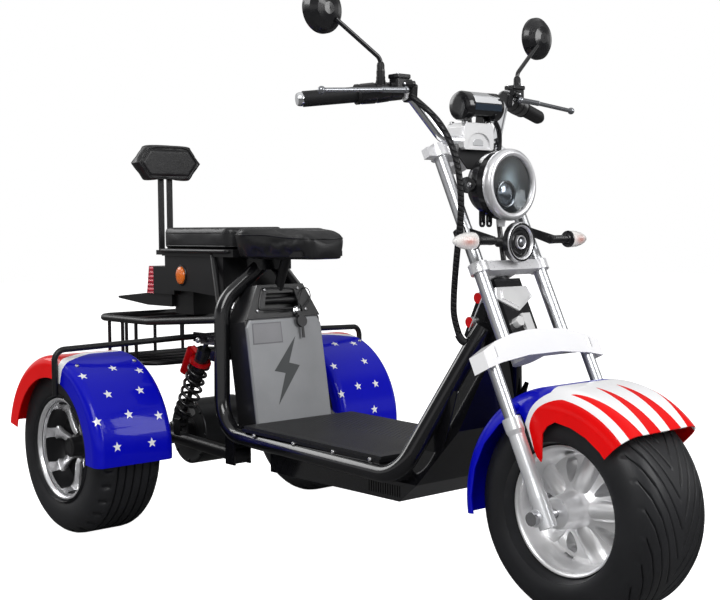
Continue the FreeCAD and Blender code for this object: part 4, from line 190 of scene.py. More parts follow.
front_tyre = turned(tread_outline(0.114, 0.062, 8, 0.078), front_middle, y_axis, front_steps, tread_sweep)
front_groove_turn, rear_groove_turn = math.tau / 24, math.tau / 30


def in_groove(centre, normal):
    """Whether a face lies in a swept groove of the front tyre."""
    offset = centre - front_middle
    turn = math.atan2(offset.x, offset.z) - tread_sweep(offset.y) + (front_groove_turn / 2 if offset.y > 0 else 0)
    return (math.hypot(offset.x, offset.z) > 0.206 and abs(offset.y) > 0.004
            and turn % front_groove_turn < math.tau / front_steps)


def in_shoulder_notch(centre, normal):
    """Whether a face lies in a notch on a rear tyre's shoulder."""
    offset = centre - middle
    return (0.214 < math.hypot(offset.x, offset.z) < 0.2255 and abs(offset.y) > 0.055
            and math.atan2(offset.x, offset.z) % rear_groove_turn < math.tau / rear_steps)


def sunk(piece, wanted, depth):
    """Presses the faces that pass a test into a piece."""
    pick(piece, wanted)
    bpy.ops.mesh.extrude_region_shrink_fatten(TRANSFORM_OT_shrink_fatten={"value": -depth})
    bpy.ops.object.mode_set(mode="OBJECT")
    return piece


settle(sunk(front_tyre, in_groove, 0.0045), "front_tyre_tread", tyre_rubber, "tyre_rubber", "front_wheel",
       "front_tyre")
rib_grooves = [(groove + step, tyre_radius - depth) for groove in (-0.047, -0.024, 0.0, 0.024, 0.047)
               for step, depth in ((-0.0032, 0), (-0.0018, 0.006), (0.0018, 0.006), (0.0032, 0))]
for hand, outward in hands:
    middle = middle_of(f"rear_tyre_{hand}")
    outline = tread_outline(0.095, 0.044, 1, 0.082)
    crown = [point for point in outline if abs(point[0]) <= 0.0511 and point[1] > tyre_radius - 0.0001]
    start = outline.index(crown[0])
    outline[start:start + len(crown)] = rib_grooves
    rear_tyre = turned(outline, middle, y_axis, rear_steps)
    settle(sunk(rear_tyre, in_shoulder_notch, 0.0035), f"rear_tyre_tread_{hand}", tyre_rubber, "tyre_rubber",
           f"rear_wheel_{hand}", f"rear_tyre_{hand}")


# Wheels
# Cast aluminium wheels with a deep dish. The front one is bright all over, with five rounded spokes and
# teardrop windows; the rear ones are black with eight plated spokes, plated lips and a bolted hub.

def dress(node, material, wanted=None):
    """Gives a CAD piece its finish, or only those of its faces that pass a test."""
    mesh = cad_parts[node].data
    if wanted is None:
        mesh.materials.clear()
        mesh.materials.append(material)
        for face in mesh.polygons:
            face.material_index = 0
        return
    mesh.materials.append(material)
    number = len(mesh.materials) - 1
    for face in mesh.polygons:
        if wanted(face.center, face.normal):
            face.material_index = number


def slab(points, thickness):
    """A plate with a traced outline, extruded by its thickness."""
    traced(points)
    bpy.ops.mesh.edge_face_add()
    bpy.ops.mesh.extrude_region_move(TRANSFORM_OT_translate={"value": thickness})
    bpy.ops.object.mode_set(mode="OBJECT")
    return seamless(30)


def drawn(rings, corner=None, sides=24):
    """A bar drawn up through flat rings, each with its middle and two half widths, round or with a corner."""
    x, y, z, wide, deep = rings[0]
    bpy.ops.object.select_all(action="DESELECT")
    if corner is None:
        bpy.ops.mesh.primitive_circle_add(vertices=sides, radius=1, fill_type="NGON")
        bpy.ops.object.mode_set(mode="EDIT")
    else:
        bpy.ops.mesh.primitive_plane_add(size=2)
        bpy.ops.object.mode_set(mode="EDIT")
        bpy.ops.mesh.bevel(offset=corner, segments=4, affect="VERTICES")
    bpy.ops.mesh.select_mode(type="VERT")
    bpy.ops.mesh.select_all(action="SELECT")
    bpy.ops.transform.resize(value=(wide, deep, 1), center_override=(0, 0, 0))
    bpy.ops.transform.translate(value=(x, y, z))
    for ring in rings[1:]:
        bpy.ops.mesh.extrude_region_move(
            TRANSFORM_OT_translate={"value": (ring[0] - x, ring[1] - y, ring[2] - z)})
        bpy.ops.transform.resize(value=(ring[3] / wide, ring[4] / deep, 1), center_override=ring[:3])
        x, y, z, wide, deep = ring
    bpy.ops.object.mode_set(mode="OBJECT")
    return seamless(40)


def moved(piece, matrix):
    """Puts the mesh of a piece somewhere else, and leaves its object at the origin."""
    piece.data.transform(matrix)
    if matrix.determinant() < 0:
        piece.data.flip_normals()
    return piece


def joined(pieces):
    """Makes one piece of several."""
    bpy.ops.object.select_all(action="DESELECT")
    for piece in pieces:
        piece.select_set(True)
    bpy.context.view_layer.objects.active = pieces[0]
    bpy.ops.object.join()
    return pieces[0]


def twin(piece, matrix=Matrix()):
    """A copy of a piece with its own mesh, put somewhere else."""
    copy = piece.copy()
    copy.data = piece.data.copy()
    bpy.context.collection.objects.link(copy)
    return moved(copy, matrix)


def around(piece, count, middle, start=0.0, axis="Y"):
    """Copies of a piece spread evenly around an axis through the middle, joined into one."""
    there, back = Matrix.Translation(middle), Matrix.Translation(-Vector(middle))
    copies = [twin(piece, there @ Matrix.Rotation(start + math.tau * step / count, 4, axis) @ back)
              for step in range(count)]
    bpy.data.objects.remove(piece)
    return joined(copies)


def carved(piece, tool):
    """Cuts one piece out of another."""
    bpy.ops.object.select_all(action="DESELECT")
    bpy.context.view_layer.objects.active = piece
    cutter = piece.modifiers.new("carve", "BOOLEAN")
    cutter.object = tool
    cutter.operation = "DIFFERENCE"
    cutter.solver = "EXACT"
    bpy.ops.object.modifier_apply(modifier=cutter.name)
    bpy.data.objects.remove(tool)
    return piece


def softened(piece, width, segments=2, angle=35, flat=True):
    """Rounds the sharp edges of a piece."""
    bpy.ops.object.select_all(action="DESELECT")
    bpy.context.view_layer.objects.active = piece
    edge = piece.modifiers.new("edge", "BEVEL")
    edge.width = width
    edge.segments = segments
    edge.angle_limit = math.radians(angle)
    edge.harden_normals = flat
    bpy.ops.object.modifier_apply(modifier=edge.name)
    return piece


cast_bright = finish("cast_bright", (0.95, 0.95, 0.97), 0.34, metal=0.8, grain=60, relief=0.00012, uneven=0.08,
                     shade=0.1)
half_rim = [(0.0835, 0.1353), (0.0838, 0.1338), (0.0825, 0.1308), (0.079, 0.1275), (0.072, 0.1248), (0.056, 0.1225),
            (0.05, 0.1222), (0.036, 0.1195), (0.027, 0.115), (0.0225, 0.108), (0.024, 0.0985), (0.032, 0.078),
            (0.042, 0.057), (0.049, 0.0455), (0.056, 0.0392), (0.07, 0.0365), (0.106, 0.034),
            (0.1118, 0.032), (0.1128, 0.0285), (0.1128, 0.0086)]
rim_line = half_rim + [(-side, radius) for side, radius in reversed(half_rim)]
rim_line += [(-0.0785, 0.1353), (-0.0772, 0.1278), (0.0772, 0.1278), (0.0785, 0.1353), half_rim[0]]
front_wheel = turned(rim_line, front_middle, y_axis, 120)
teardrop = [(0.055, 0.002), (0.062, 0.0075), (0.074, 0.0125), (0.088, 0.0155), (0.098, 0.014), (0.1035, 0.0085)]
teardrop += [(reach, -half) for reach, half in reversed(teardrop)]
notch = [(0.1115, 0.0115), (0.1165, 0.0125), (0.1185, 0.0), (0.1165, -0.0125), (0.1115, -0.0115), (0.1125, 0.0)]
front_spokes, rear_spokes = 5, 8
for outline in (teardrop, notch):
    tool = slab([front_middle + Vector((reach, -0.07, half)) for reach, half in outline], (0, 0.14, 0))
    carved(front_wheel, around(tool, front_spokes, front_middle, math.radians(36)))
spokes = []
for hand in (-1, 1):
    spoke = drawn([(0, 0.04, 0.026, 0.019, 0.015), (0, 0.04, 0.045, 0.0215, 0.0165),
                   (0, 0.034, 0.07, 0.0225, 0.0165), (0, 0.0265, 0.098, 0.021, 0.015),
                   (0, 0.0215, 0.112, 0.0225, 0.013), (0, 0.019, 0.121, 0.026, 0.012)])
    moved(spoke, Matrix.Translation(front_middle) @ Matrix.Scale(hand, 4, y_axis)
          @ Matrix.Rotation(math.pi / 2, 4, "Y"))
    spokes.append(around(spoke, front_spokes, front_middle, math.radians(-3)))
front_wheel = softened(joined([front_wheel] + spokes), 0.0008, 2, 50, False)
bpy.ops.object.shade_smooth_by_angle(angle=math.radians(40))
settle(front_wheel, "front_wheel_cast", cast_bright, "cast_silver", "front_wheel", "front_rim")

wheel_black = finish("wheel_black", (0.008, 0.008, 0.009), 0.4, grain=400, shade=0.15, shine=0.2)
chrome = finish("chrome", (0.86, 0.87, 0.89), 0.1, metal=1.0, grain=120, relief=0.00002, uneven=0.03, shade=0.05)
bolt_zinc = finish("bolt_zinc", (0.5, 0.5, 0.51), 0.3, metal=1.0, grain=500, relief=0.00003)
spoke_plate = finish("spoke_plate", (0.9, 0.9, 0.92), 0.24, metal=0.8, grain=200, relief=0.00002, uneven=0.05)
for hand, outward in hands:
    middle = middle_of(f"rear_rim_{hand}")
    turn_out = Matrix.Translation(middle) @ Matrix.Scale(outward, 4, y_axis)
    half = [(0.083, 0.1275), (0.078, 0.1245), (0.056, 0.1215), (0.03, 0.1185), (0.019, 0.112), (0.018, 0.06),
            (0.023, 0.05), (0.03, 0.046), (0.03, 0.03), (0.034, 0.028), (0.062, 0.026), (0.0635, 0.024),
            (0.0635, 0.0155)]
    body = turned(half + [(-0.0635, 0.0155), (-0.0635, 0.038), (0.006, 0.04), (0.006, 0.115), (-0.083, 0.12),
                          (-0.087, 0.1353), (-0.078, 0.1353), (-0.0772, 0.1278), (0.0772, 0.1278), half[0]],
                  origin, y_axis, 96)
    settle(moved(body, turn_out), f"rear_wheel_barrel_{hand}", wheel_black, "gloss_black", f"rear_wheel_{hand}",
           f"rear_rim_{hand}")
    lip = turned([(0.078, 0.1279), (0.0785, 0.1353), (0.0865, 0.1353), (0.0878, 0.134), (0.0872, 0.13),
                  (0.0835, 0.1262), (0.07, 0.1225), (0.068, 0.1228), (0.069, 0.1242), (0.078, 0.1279)],
                 origin, y_axis, 96)
    spoke = drawn([(0, 0.025, 0.036, 0.0085, 0.007), (0, 0.029, 0.05, 0.0095, 0.0075),
                   (0, 0.029, 0.08, 0.0105, 0.0075), (0, 0.029, 0.102, 0.0115, 0.0075),
                   (0, 0.031, 0.113, 0.0155, 0.0075), (0, 0.034, 0.119, 0.02, 0.0075),
                   (0, 0.048, 0.1205, 0.022, 0.006), (0, 0.064, 0.1222, 0.026, 0.005)], corner=0.5)
    moved(spoke, Matrix.Rotation(math.pi / 2, 4, "Y"))
    plated = softened(joined([lip, around(spoke, rear_spokes, origin, math.radians(12))]), 0.0006, 2, 50, False)
    bpy.ops.object.shade_smooth_by_angle(angle=math.radians(40))
    settle(moved(plated, turn_out), f"rear_wheel_plating_{hand}", spoke_plate, "chrome", f"rear_wheel_{hand}")
    bolt = drawn([(0.0375, 0, 0.028, 0.0058, 0.0058), (0.0375, 0, 0.0345, 0.0058, 0.0058),
                  (0.0375, 0, 0.0355, 0.0046, 0.0046)], sides=6)
    moved(bolt, Matrix.Rotation(-math.pi / 2, 4, "X"))
    settle(moved(around(bolt, 5, origin), turn_out), f"rear_hub_bolts_{hand}", bolt_zinc, "cast_silver",
           f"rear_wheel_{hand}")

disc_steel = finish("disc_steel", (0.5, 0.5, 0.52), 0.28, metal=1.0, grain=700, relief=0.00004)
caliper_black = finish("caliper_black", (0.02, 0.02, 0.021), 0.35, grain=500, lacquer=0.3)
axle_zinc = finish("axle_zinc", (0.6, 0.6, 0.62), 0.25, metal=1.0, grain=300)
dress("front_disc", disc_steel)
dress("front_caliper", caliper_black)
dress("front_axle", axle_zinc)


# Rear fenders
# Pressed steel arches, lacquered blue with white stars in front, then a white stripe and a red rear part.

class Field:
    """A number that a material works out at each point; fields and numbers join with plain signs."""

    def __init__(self, socket):
        self.socket = socket

    def feed(self, socket):
        """Drives the input of a node with this field."""
        self.socket.id_data.links.new(self.socket, socket)

    def __add__(self, other):
        return reckon("ADD", self, other)

    def __sub__(self, other):
        return reckon("SUBTRACT", self, other)

    def __rsub__(self, other):
        return reckon("SUBTRACT", other, self)

    def __mul__(self, other):
        return reckon("MULTIPLY", self, other)

    def __truediv__(self, other):
        return reckon("DIVIDE", self, other)

    def __pow__(self, other):
        return reckon("POWER", self, other)

    def __abs__(self):
        return reckon("ABSOLUTE", self)

    def __lt__(self, other):
        return reckon("LESS_THAN", self, other)

    def __gt__(self, other):
        return reckon("GREATER_THAN", self, other)


def reckon(kind, *values):
    """One sum in a material: its values are numbers or fields."""
    tree = next(value.socket.id_data for value in values if isinstance(value, Field))
    node = tree.nodes.new("ShaderNodeMath")
    node.operation = kind
    for socket, value in zip(node.inputs, values):
        if isinstance(value, Field):
            value.feed(socket)
        else:
            socket.default_value = value
    return Field(node.outputs[0])


def place_in(material):
    """The three coordinates of the point that is shaded."""
    tree = material.node_tree
    where = tree.nodes.new("ShaderNodeTexCoord")
    parts = tree.nodes.new("ShaderNodeSeparateXYZ")
    tree.links.new(where.outputs["Object"], parts.inputs[0])
    return [Field(part) for part in parts.outputs]


def wheel_place(material, middle):
    """Angle around the wheel in degrees, distance from its axle, and side of the wheel's middle plane."""
    x, y, z = place_in(material)
    ahead, above = x - middle.x, z - middle.z
    angle = reckon("ARCTAN2", above, ahead) * math.degrees(1)
    angle = angle + (angle < -90.0) * 360.0
    return angle, reckon("SQRT", ahead * ahead + above * above), abs(y)


def lacquered(name, red, white, blue):
    """Bright lacquer over a base of three colours; returns the material and its masks for white and blue."""
    material = finish(name, red, 0.3, grain=220, relief=0.00003, lacquer=0.25, shade=0.05, shine=0.1)
    tree = material.node_tree
    colour, masks = tree.nodes["Tones"].outputs["Color"], []
    for over in (white, blue):
        layer = tree.nodes.new("ShaderNodeMix")
        layer.data_type = "RGBA"
        layer.inputs[7].default_value = over + (1,)
        tree.links.new(colour, layer.inputs[6])
        colour = layer.outputs[2]
        masks.append(layer.inputs[0])
    tree.links.new(colour, tree.nodes["Principled BSDF"].inputs["Base Color"])
    return material, *masks


fender_red, fender_white, fender_blue = (0.7, 0.001, 0.0015), (0.8, 0.8, 0.81), (0.001, 0.002, 0.42)
axle_middle = (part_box("rear_rim_right")[0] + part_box("rear_rim_left")[1]) / 2
rear_paint, white_mask, blue_mask = lacquered("rear_fender_paint", fender_red, fender_white, fender_blue)
angle, reach, side = wheel_place(rear_paint, axle_middle)
inward = (0.512 - side) * (1 / 0.11)
lean = reckon("SMOOTH_MIN", reckon("MAXIMUM", inward, 0.0), 1.0, 0.2)
blue_border = lean * 15.0 + 70.5
(angle < blue_border + 6.0).feed(white_mask)
(angle < blue_border).feed(blue_mask)
for hand, outward in hands:
    dress(f"rear_fender_{hand}", rear_paint)

star_white = finish("star_white", (0.8, 0.8, 0.81), 0.25, grain=300, relief=0.00002, lacquer=0.6, shade=0.02)
right_stars = ((55.5, 0.4907), (60.3, 0.3935), (55.7, 0.324), (39.9, 0.4482), (40.3, 0.3531), (25.6, 0.4084),
               (22.7, 0.3229), (23.5, 0.501), (7.5, 0.4566), (7.3, 0.3553))
left_stars = ((65.0, 0.382), (63.6, 0.4517), (44.5, 0.4366), (26.3, 0.4403), (26.1, 0.3698), (21.9, 0.299),
              (8.8, 0.4141), (5.7, 0.3391), (43.0, 0.312), (63.0, 0.308))
crown_radius, crown_side, crown_edge, star_radius = 0.25, 0.492, 0.024, 0.0132
star_line = []
for step in range(10):
    corner, reach = math.pi / 2 + math.pi / 5 * step, star_radius if step % 2 == 0 else star_radius * 0.42
    star_line.append((reach * math.cos(corner), reach * math.sin(corner), -0.0003))
for (hand, outward), stars in zip(hands, (right_stars, left_stars)):
    pieces = []
    for turn, side in stars:
        piece = slab(star_line, (0, 0, 0.0009))
        bpy.ops.object.mode_set(mode="EDIT")
        bpy.ops.mesh.select_all(action="SELECT")
        bpy.ops.mesh.quads_convert_to_tris()
        bpy.ops.mesh.subdivide(number_cuts=2)
        bpy.ops.object.mode_set(mode="OBJECT")
        for point in piece.data.vertices:
            beyond = max(0.0, side + point.co.x - crown_side) / crown_edge
            reach = crown_radius + point.co.z - (crown_edge + point.co.z) * (1 - math.cos(beyond))
            across = min(side + point.co.x, crown_side) + (crown_edge + point.co.z) * math.sin(beyond)
            around_turn = math.radians(turn) + point.co.y / crown_radius
            point.co = (axle_middle.x + reach * math.cos(around_turn), outward * across,
                        axle_middle.z + reach * math.sin(around_turn))
        pieces.append(piece)
    stars_piece = joined(pieces)
    bpy.ops.object.mode_set(mode="EDIT")
    bpy.ops.mesh.select_all(action="SELECT")
    bpy.ops.mesh.normals_make_consistent(inside=False)
    bpy.ops.object.mode_set(mode="OBJECT")
    settle(stars_piece, f"fender_stars_{hand}", star_white, "white_paint", "chassis")


def screw(place, direction, radius, height=None):
    """A round-headed screw with a round recess, standing on a place and facing a direction."""
    height = height or radius * 0.7
    head = turned([(-0.001, radius), (height * 0.45, radius), (height * 0.8, radius * 0.86), (height, radius * 0.62),
                   (height, radius * 0.46), (height * 0.45, radius * 0.42), (height * 0.45, 0.00001)],
                  origin, z_axis, 18)
    turn = Vector(z_axis).rotation_difference(Vector(direction)).to_matrix().to_4x4()
    return moved(head, Matrix.Translation(place) @ turn)


def screws(name, material, body, places, radius):
    """A set of screws on one body; each has its place and the direction that it faces."""
    return settle(joined([screw(place, direction, radius) for place, direction in places]), name, material,
                  "cast_silver", body)


def on_fender(turn, side, outward):
    """Place and direction on a rear fender's crown, by the turn about the axle and the side."""
    way = Vector((math.cos(math.radians(turn)), 0, math.sin(math.radians(turn))))
    return axle_middle * Vector((1, 0, 1)) + way * crown_radius + Vector((0, outward * side, 0)), way


for hand, outward in hands:
    screws(f"fender_screws_{hand}", bolt_zinc, "chassis",
           [on_fender(turn, side, outward) for turn in (66.0, 120.0) for side in (0.485, 0.315)], 0.0055)


# Front fender
# A pressed steel arch with a pointed skirt ahead of each leg, in red with white stripes that taper
# back, a white border and a blue rear part.

front_paint, white_mask, blue_mask = lacquered("front_fender_paint", fender_red, fender_white, fender_blue)
angle, reach, side = wheel_place(front_paint, front_middle)
across = side + (0.256 - reach)
taper = reckon("MAXIMUM", (81.0 - angle) * (1 / 38), 0.0) ** 0.6
red_inner = abs(across - 0.034) < taper * 0.019
drift = (1.0 - taper) * 0.024 + 0.095
red_outer = abs(across - drift) < taper * 0.022
fall = 1.0 - reckon("MAXIMUM", angle - 84.0, 0.0) * (1 / 24)
fall = 1.0 - reckon("SQRT", reckon("MAXIMUM", fall, 0.0))
red_side = (across > fall * 0.08 + 0.142) * (angle < 107.5)
red = reckon("MAXIMUM", red_side, reckon("MAXIMUM", red_inner, red_outer))
(1.0 - red).feed(white_mask)
rise = reckon("MAXIMUM", 0.2 - across, 0.0) * 240.0
(angle > 110.5 - reckon("MINIMUM", rise, 18.0)).feed(blue_mask)
dress("front_fender", front_paint)


# Frame, rack and rear axle
# Bent steel tubes and pressed brackets, welded and enamelled gloss black; the rack, the fender bar
# and the swing arm are powder coated in a duller black.

frame_black = finish("frame_black", (0.004, 0.004, 0.005), 0.2, grain=260, relief=0.00003, lacquer=0.5, shade=0.2,
                     shine=0.35)
powder_black = finish("powder_black", (0.007, 0.007, 0.008), 0.36, grain=900, relief=0.00008, shade=0.2, shine=0.35)
for node in ("frame_left_rail", "frame_right_rail", "frame_cross_tubes", "frame_neck"):
    dress(node, frame_black)
for node in ("luggage_rack", "fender_stay", "rear_axle", "footboard"):
    dress(node, powder_black)
motor_black = finish("motor_black", (0.035, 0.036, 0.038), 0.38, metal=0.8, grain=500, relief=0.0001)


def in_motor(centre, normal):
    """Whether a face of the rear axle belongs to its motor."""
    return abs(centre.y) < 0.0785 and math.hypot(centre.x - axle_middle.x, centre.z - axle_middle.z) > 0.05


dress("rear_axle", motor_black, in_motor)
covers = []
for hand in (-1, 1):
    cover = turned([(0.077, 0.04), (0.079, 0.04), (0.0805, 0.043), (0.0805, 0.047), (0.0795, 0.05), (0.0795, 0.08),
                    (0.0805, 0.083), (0.08, 0.088), (0.077, 0.0905), (0.077, 0.04)], origin, y_axis, 72)
    covers.append(moved(cover, Matrix.Translation(axle_middle) @ Matrix.Scale(hand, 4, y_axis)))
    for turn in [math.tau / 8 * step for step in range(8)]:
        place = axle_middle + Vector((0.084 * math.cos(turn), hand * 0.08, 0.084 * math.sin(turn)))
        covers.append(screw(place, (0, hand, 0), 0.0045))
settle(joined(covers), "motor_covers", motor_black, "black_steel", "chassis")


# Belly pan and footboard
# A moulded apron in gloss black with a fine ribbed grille on each flank, and a rubber mat glued
# to a steel deck, with grooves that meet in chevrons.

def ridges(material, height, depth):
    """Adds a coarser relief to a finish, from a height that runs from 0 to 1."""
    tree = material.node_tree
    coarse = tree.nodes.new("ShaderNodeBump")
    coarse.inputs["Strength"].default_value = 1.0
    coarse.inputs["Distance"].default_value = depth
    height.feed(coarse.inputs["Height"])
    tree.links.new(coarse.outputs["Normal"], tree.nodes["Relief"].inputs["Normal"])


def waves(along, pitch, gap):
    """Flat-topped ribs with narrow gaps between them: 1 on a rib and 0 in a gap."""
    beat = reckon("PINGPONG", along * (1 / pitch), 0.5)
    node = beat.socket.id_data.nodes.new("ShaderNodeMapRange")
    node.interpolation_type = "SMOOTHSTEP"
    node.inputs["From Max"].default_value = gap / pitch
    beat.feed(node.inputs["Value"])
    return Field(node.outputs[0])


apron_black = finish("apron_black", (0.004, 0.004, 0.005), 0.1, grain=200, relief=0.00004, lacquer=0.7, shade=0.25)
dress("belly_pan", apron_black)
mat_rubber = finish("mat_rubber", (0.013, 0.013, 0.014), 0.5, grain=1200, relief=0.0002, shade=0.2, shine=0.3)
x, y, z = place_in(mat_rubber)
ribs = waves(x + abs(y) * 0.55, 0.0135, 0.0028)
inner = (abs(y) < 0.158) * (x < 0.335)
ridges(mat_rubber, reckon("MAXIMUM", ribs, 1.0 - inner), 0.0016)
dress("footboard_mat", mat_rubber)
screws("deck_screws", bolt_zinc, "chassis",
       [(Vector((x, side * 0.1885, 0.2835)), (0, side, 0)) for side in (-1, 1)
        for x in (-0.11, 0.05, 0.2, 0.33)], 0.0055)


# Battery box
# A removable case with a satin grey painted front panel, a black moulded upper cover with a carrying
# bar in its recess, a plated lock, and the key with its fob left hanging in it.

battery_black = finish("battery_black", (0.01, 0.01, 0.011), 0.3, grain=900, relief=0.0001, lacquer=0.2)
dress("battery_case", battery_black)
dress("battery_handle", battery_black)
panel_grey = finish("panel_grey", (0.235, 0.24, 0.25), 0.3, metal=0.45, grain=700, relief=0.00005, uneven=0.06,
                    shade=0.07)
dress("battery_panel", panel_grey)
key_black = finish("key_black", (0.016, 0.016, 0.018), 0.4, grain=600)
dress("battery_key", key_black)
panel_lean = math.radians(9.7)
panel_foot = Vector((-0.17725, 0, 0.29))


def on_panel(across, up, proud=0.0):
    """A place on the leaning front of the battery box."""
    return (panel_foot + Vector((-math.sin(panel_lean), 0, math.cos(panel_lean))) * up + Vector((0, across, 0))
            + Vector((math.cos(panel_lean), 0, math.sin(panel_lean))) * proud)


def on_panel_plate(corners, thickness):
    """A thin plate laid on the front of the battery box, by the places of its corners."""
    return slab([on_panel(across, up, -0.0004) for across, up in corners], facing * thickness)


facing = on_panel(0, 0, 1) - on_panel(0, 0)
sign_grey = finish("sign_grey", (0.03, 0.034, 0.036), 0.4, grain=700, relief=0.00004, shade=0.1)
bolt_sign = on_panel_plate([(0.0301, 0.2306), (-0.0519, 0.1425), (-0.0163, 0.1341), (-0.0498, 0.0532), (0.0339, 0.1516),
                            (-0.0005, 0.1611)], 0.001)
settle(bolt_sign, "lightning_sign", sign_grey, "panel_grey", "chassis")
plate = on_panel_plate([(-0.1085, 0.2725), (-0.013, 0.2725), (-0.013, 0.2165), (-0.111, 0.2165)], 0.0012)
rating_grey = finish("rating_grey", (0.13, 0.13, 0.14), 0.3, metal=0.6, grain=900, relief=0.00003)
settle(softened(plate, 0.0004), "blank_plate", rating_grey, "panel_grey", "chassis")
inner_plate = on_panel_plate([(-0.1055, 0.2695), (-0.016, 0.2695), (-0.016, 0.2195), (-0.1078, 0.2195)], 0.0015)
plate_face = finish("plate_face", (0.19, 0.19, 0.2), 0.36, metal=0.5, grain=900, relief=0.00003)
settle(softened(inner_plate, 0.0002), "blank_plate_face", plate_face, "panel_grey", "chassis")
lock_axis = Matrix.Translation(on_panel(0.044, 0.3, 0)) @ Matrix.Rotation(math.pi / 2 - panel_lean, 4, "Y")
lock = turned([(-0.002, 0.0125), (0.0015, 0.0125), (0.003, 0.0115), (0.0032, 0.009), (0.006, 0.0085),
               (0.0075, 0.0078), (0.008, 0.006), (0.008, 0.00001)], origin, z_axis, 32)
settle(moved(lock, lock_axis), "battery_lock", chrome, "chrome", "chassis")
screws("cover_screws", bolt_zinc, "chassis", [(on_panel(across, up, 0.0005), facing) for across, up in (
    (-0.0866, 0.3046), (0.076, 0.302), (-0.056, 0.36), (0.056, 0.36))], 0.0048)


def in_hand(piece):
    """Makes a piece the only one selected, and the active one."""
    bpy.ops.object.select_all(action="DESELECT")
    piece.select_set(True)
    bpy.context.view_layer.objects.active = piece


def strung(name, points, steps):
    """A smooth open curve through the points."""
    line = bpy.data.curves.new(name, "CURVE")
    line.dimensions = "3D"
    line.use_fill_caps = True
    thread = line.splines.new("NURBS")
    thread.points.add(len(points) - 1)
    for point, place in zip(thread.points, points):
        point.co = tuple(place) + (1,)
    thread.order_u = 3
    thread.use_endpoint_u = True
    thread.resolution_u = steps
    piece = bpy.data.objects.new(name, line)
    bpy.context.collection.objects.link(piece)
    return piece


def thickened(piece, radius, roundness):
    """Gives a curve its thickness and makes it a mesh."""
    piece.data.bevel_depth = radius
    piece.data.bevel_resolution = roundness
    in_hand(piece)
    bpy.ops.object.convert(target="MESH")
    return seamless(60)


def wire(name, points, radius, material, slot, body, closed=False):
    """A round wire along a smooth line through the points."""
    piece = strung(name, points, 6)
    thread = piece.data.splines[0]
    thread.use_endpoint_u = not closed
    thread.use_cyclic_u = closed
    return settle(thickened(piece, radius, 3), name, material, slot, body)


loop = [(0.046, 0.304, 0.008), (0.048, 0.32, 0.01), (0.06, 0.345, 0.008), (0.074, 0.362, 0.004),
        (0.09, 0.358, 0.004), (0.096, 0.342, 0.005), (0.09, 0.324, 0.006), (0.07, 0.31, 0.01)]
rim = [(-0.06, 0.364, 0.001), (0.038, 0.361, 0.001), (0.044, 0.356, 0.001), (0.056, 0.312, 0.001),
       (0.05, 0.306, 0.001), (-0.076, 0.306, 0.001), (-0.082, 0.312, 0.001), (-0.066, 0.359, 0.001)]
wire("recess_rim", [on_panel(*place) for place in rim], 0.0028, battery_black, "black_plastic", "chassis", closed=True)
wire("lanyard_loop", [on_panel(*place) for place in loop], 0.0014, key_black, "black_plastic", "chassis", closed=True)


# Seats
# Black vinyl over foam on moulded pans, the rider's seat pleated along its top, with piped edges;
# each pad is plumped up by a short cloth run.

seat_black = finish("seat_black", (0.0105, 0.0105, 0.0115), 0.36, grain=700, relief=0.0003, uneven=0.07, shade=0.2,
                    shine=0.4)
pan_black = finish("pan_black", (0.008, 0.008, 0.009), 0.34, grain=800, relief=0.0001, shade=0.2, shine=0.4)
dress("seat_base", pan_black)


def applied(piece, kind, **values):
    """Adds a modifier with its values to the piece in hand and applies it."""
    modifier = piece.modifiers.new(kind.lower(), kind)
    for name, value in values.items():
        setattr(modifier, name, value)
    bpy.ops.object.modifier_apply(modifier=modifier.name)


def swollen(node, name, inset, cap, reshape=None, drop=0.0, voxel=0.0055):
    """A cushion in the place of a CAD pad: made slightly smaller, then blown up by cloth pressure."""
    low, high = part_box(node)
    low = low - Vector((0, 0, drop))
    middle, size = (low + high) / 2, high - low
    piece = bpy.data.objects.new(name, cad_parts[node].data.copy())
    bpy.context.collection.objects.link(piece)
    in_hand(piece)
    for point in piece.data.vertices:
        if point.co.z < low.z + drop + 0.012:
            point.co.z -= drop
        point.co = middle + Vector([way * (1 - 2 * inset / length)
                                    for way, length in zip(point.co - middle, size)])
        if reshape:
            point.co = reshape(point.co)
    piece.data.remesh_voxel_size = voxel
    bpy.ops.object.voxel_remesh()
    before = [point.co.copy() for point in piece.data.vertices]
    cloth = piece.modifiers.new("plump", "CLOTH")
    cloth.settings.use_pressure = True
    cloth.settings.uniform_pressure_force = 4.0
    cloth.settings.effector_weights.gravity = 0
    for number in range(1, 21):
        bpy.context.scene.frame_set(number)
    bpy.ops.object.modifier_apply(modifier=cloth.name)
    bpy.context.scene.frame_set(1)
    for point, start in zip(piece.data.vertices, before):
        way = point.co - start
        point.co = start + way * min(1.0, cap / max(way.length, 1e-9))
    for point in piece.data.vertices:
        point.co = Vector([min(max(place, least), most) for place, least, most in zip(point.co, low, high)])
    applied(piece, "SMOOTH", factor=0.5, iterations=6)
    applied(piece, "SUBSURF", levels=1, render_levels=1)
    bpy.ops.object.shade_smooth()
    settle(piece, name, seat_black, "seat_vinyl", "chassis", node)
    return piece


def piping(name, piece, middle, lift, radius, steps=64):
    """A sewn cord around a pad, at a height that is given for each place along it."""
    points = []
    for step in range(steps):
        turn = math.tau * step / steps
        way = Vector((math.cos(turn), math.sin(turn), 0))
        start = Vector((middle[0], middle[1], lift(middle[0] + way.x * 0.12))) + way * 0.5
        found, place, normal, face = piece.ray_cast(start, -way)
        if found:
            points.append(place + normal * radius * 0.2)
    return wire(name, points, radius, seat_black, "seat_vinyl", "chassis", closed=True)


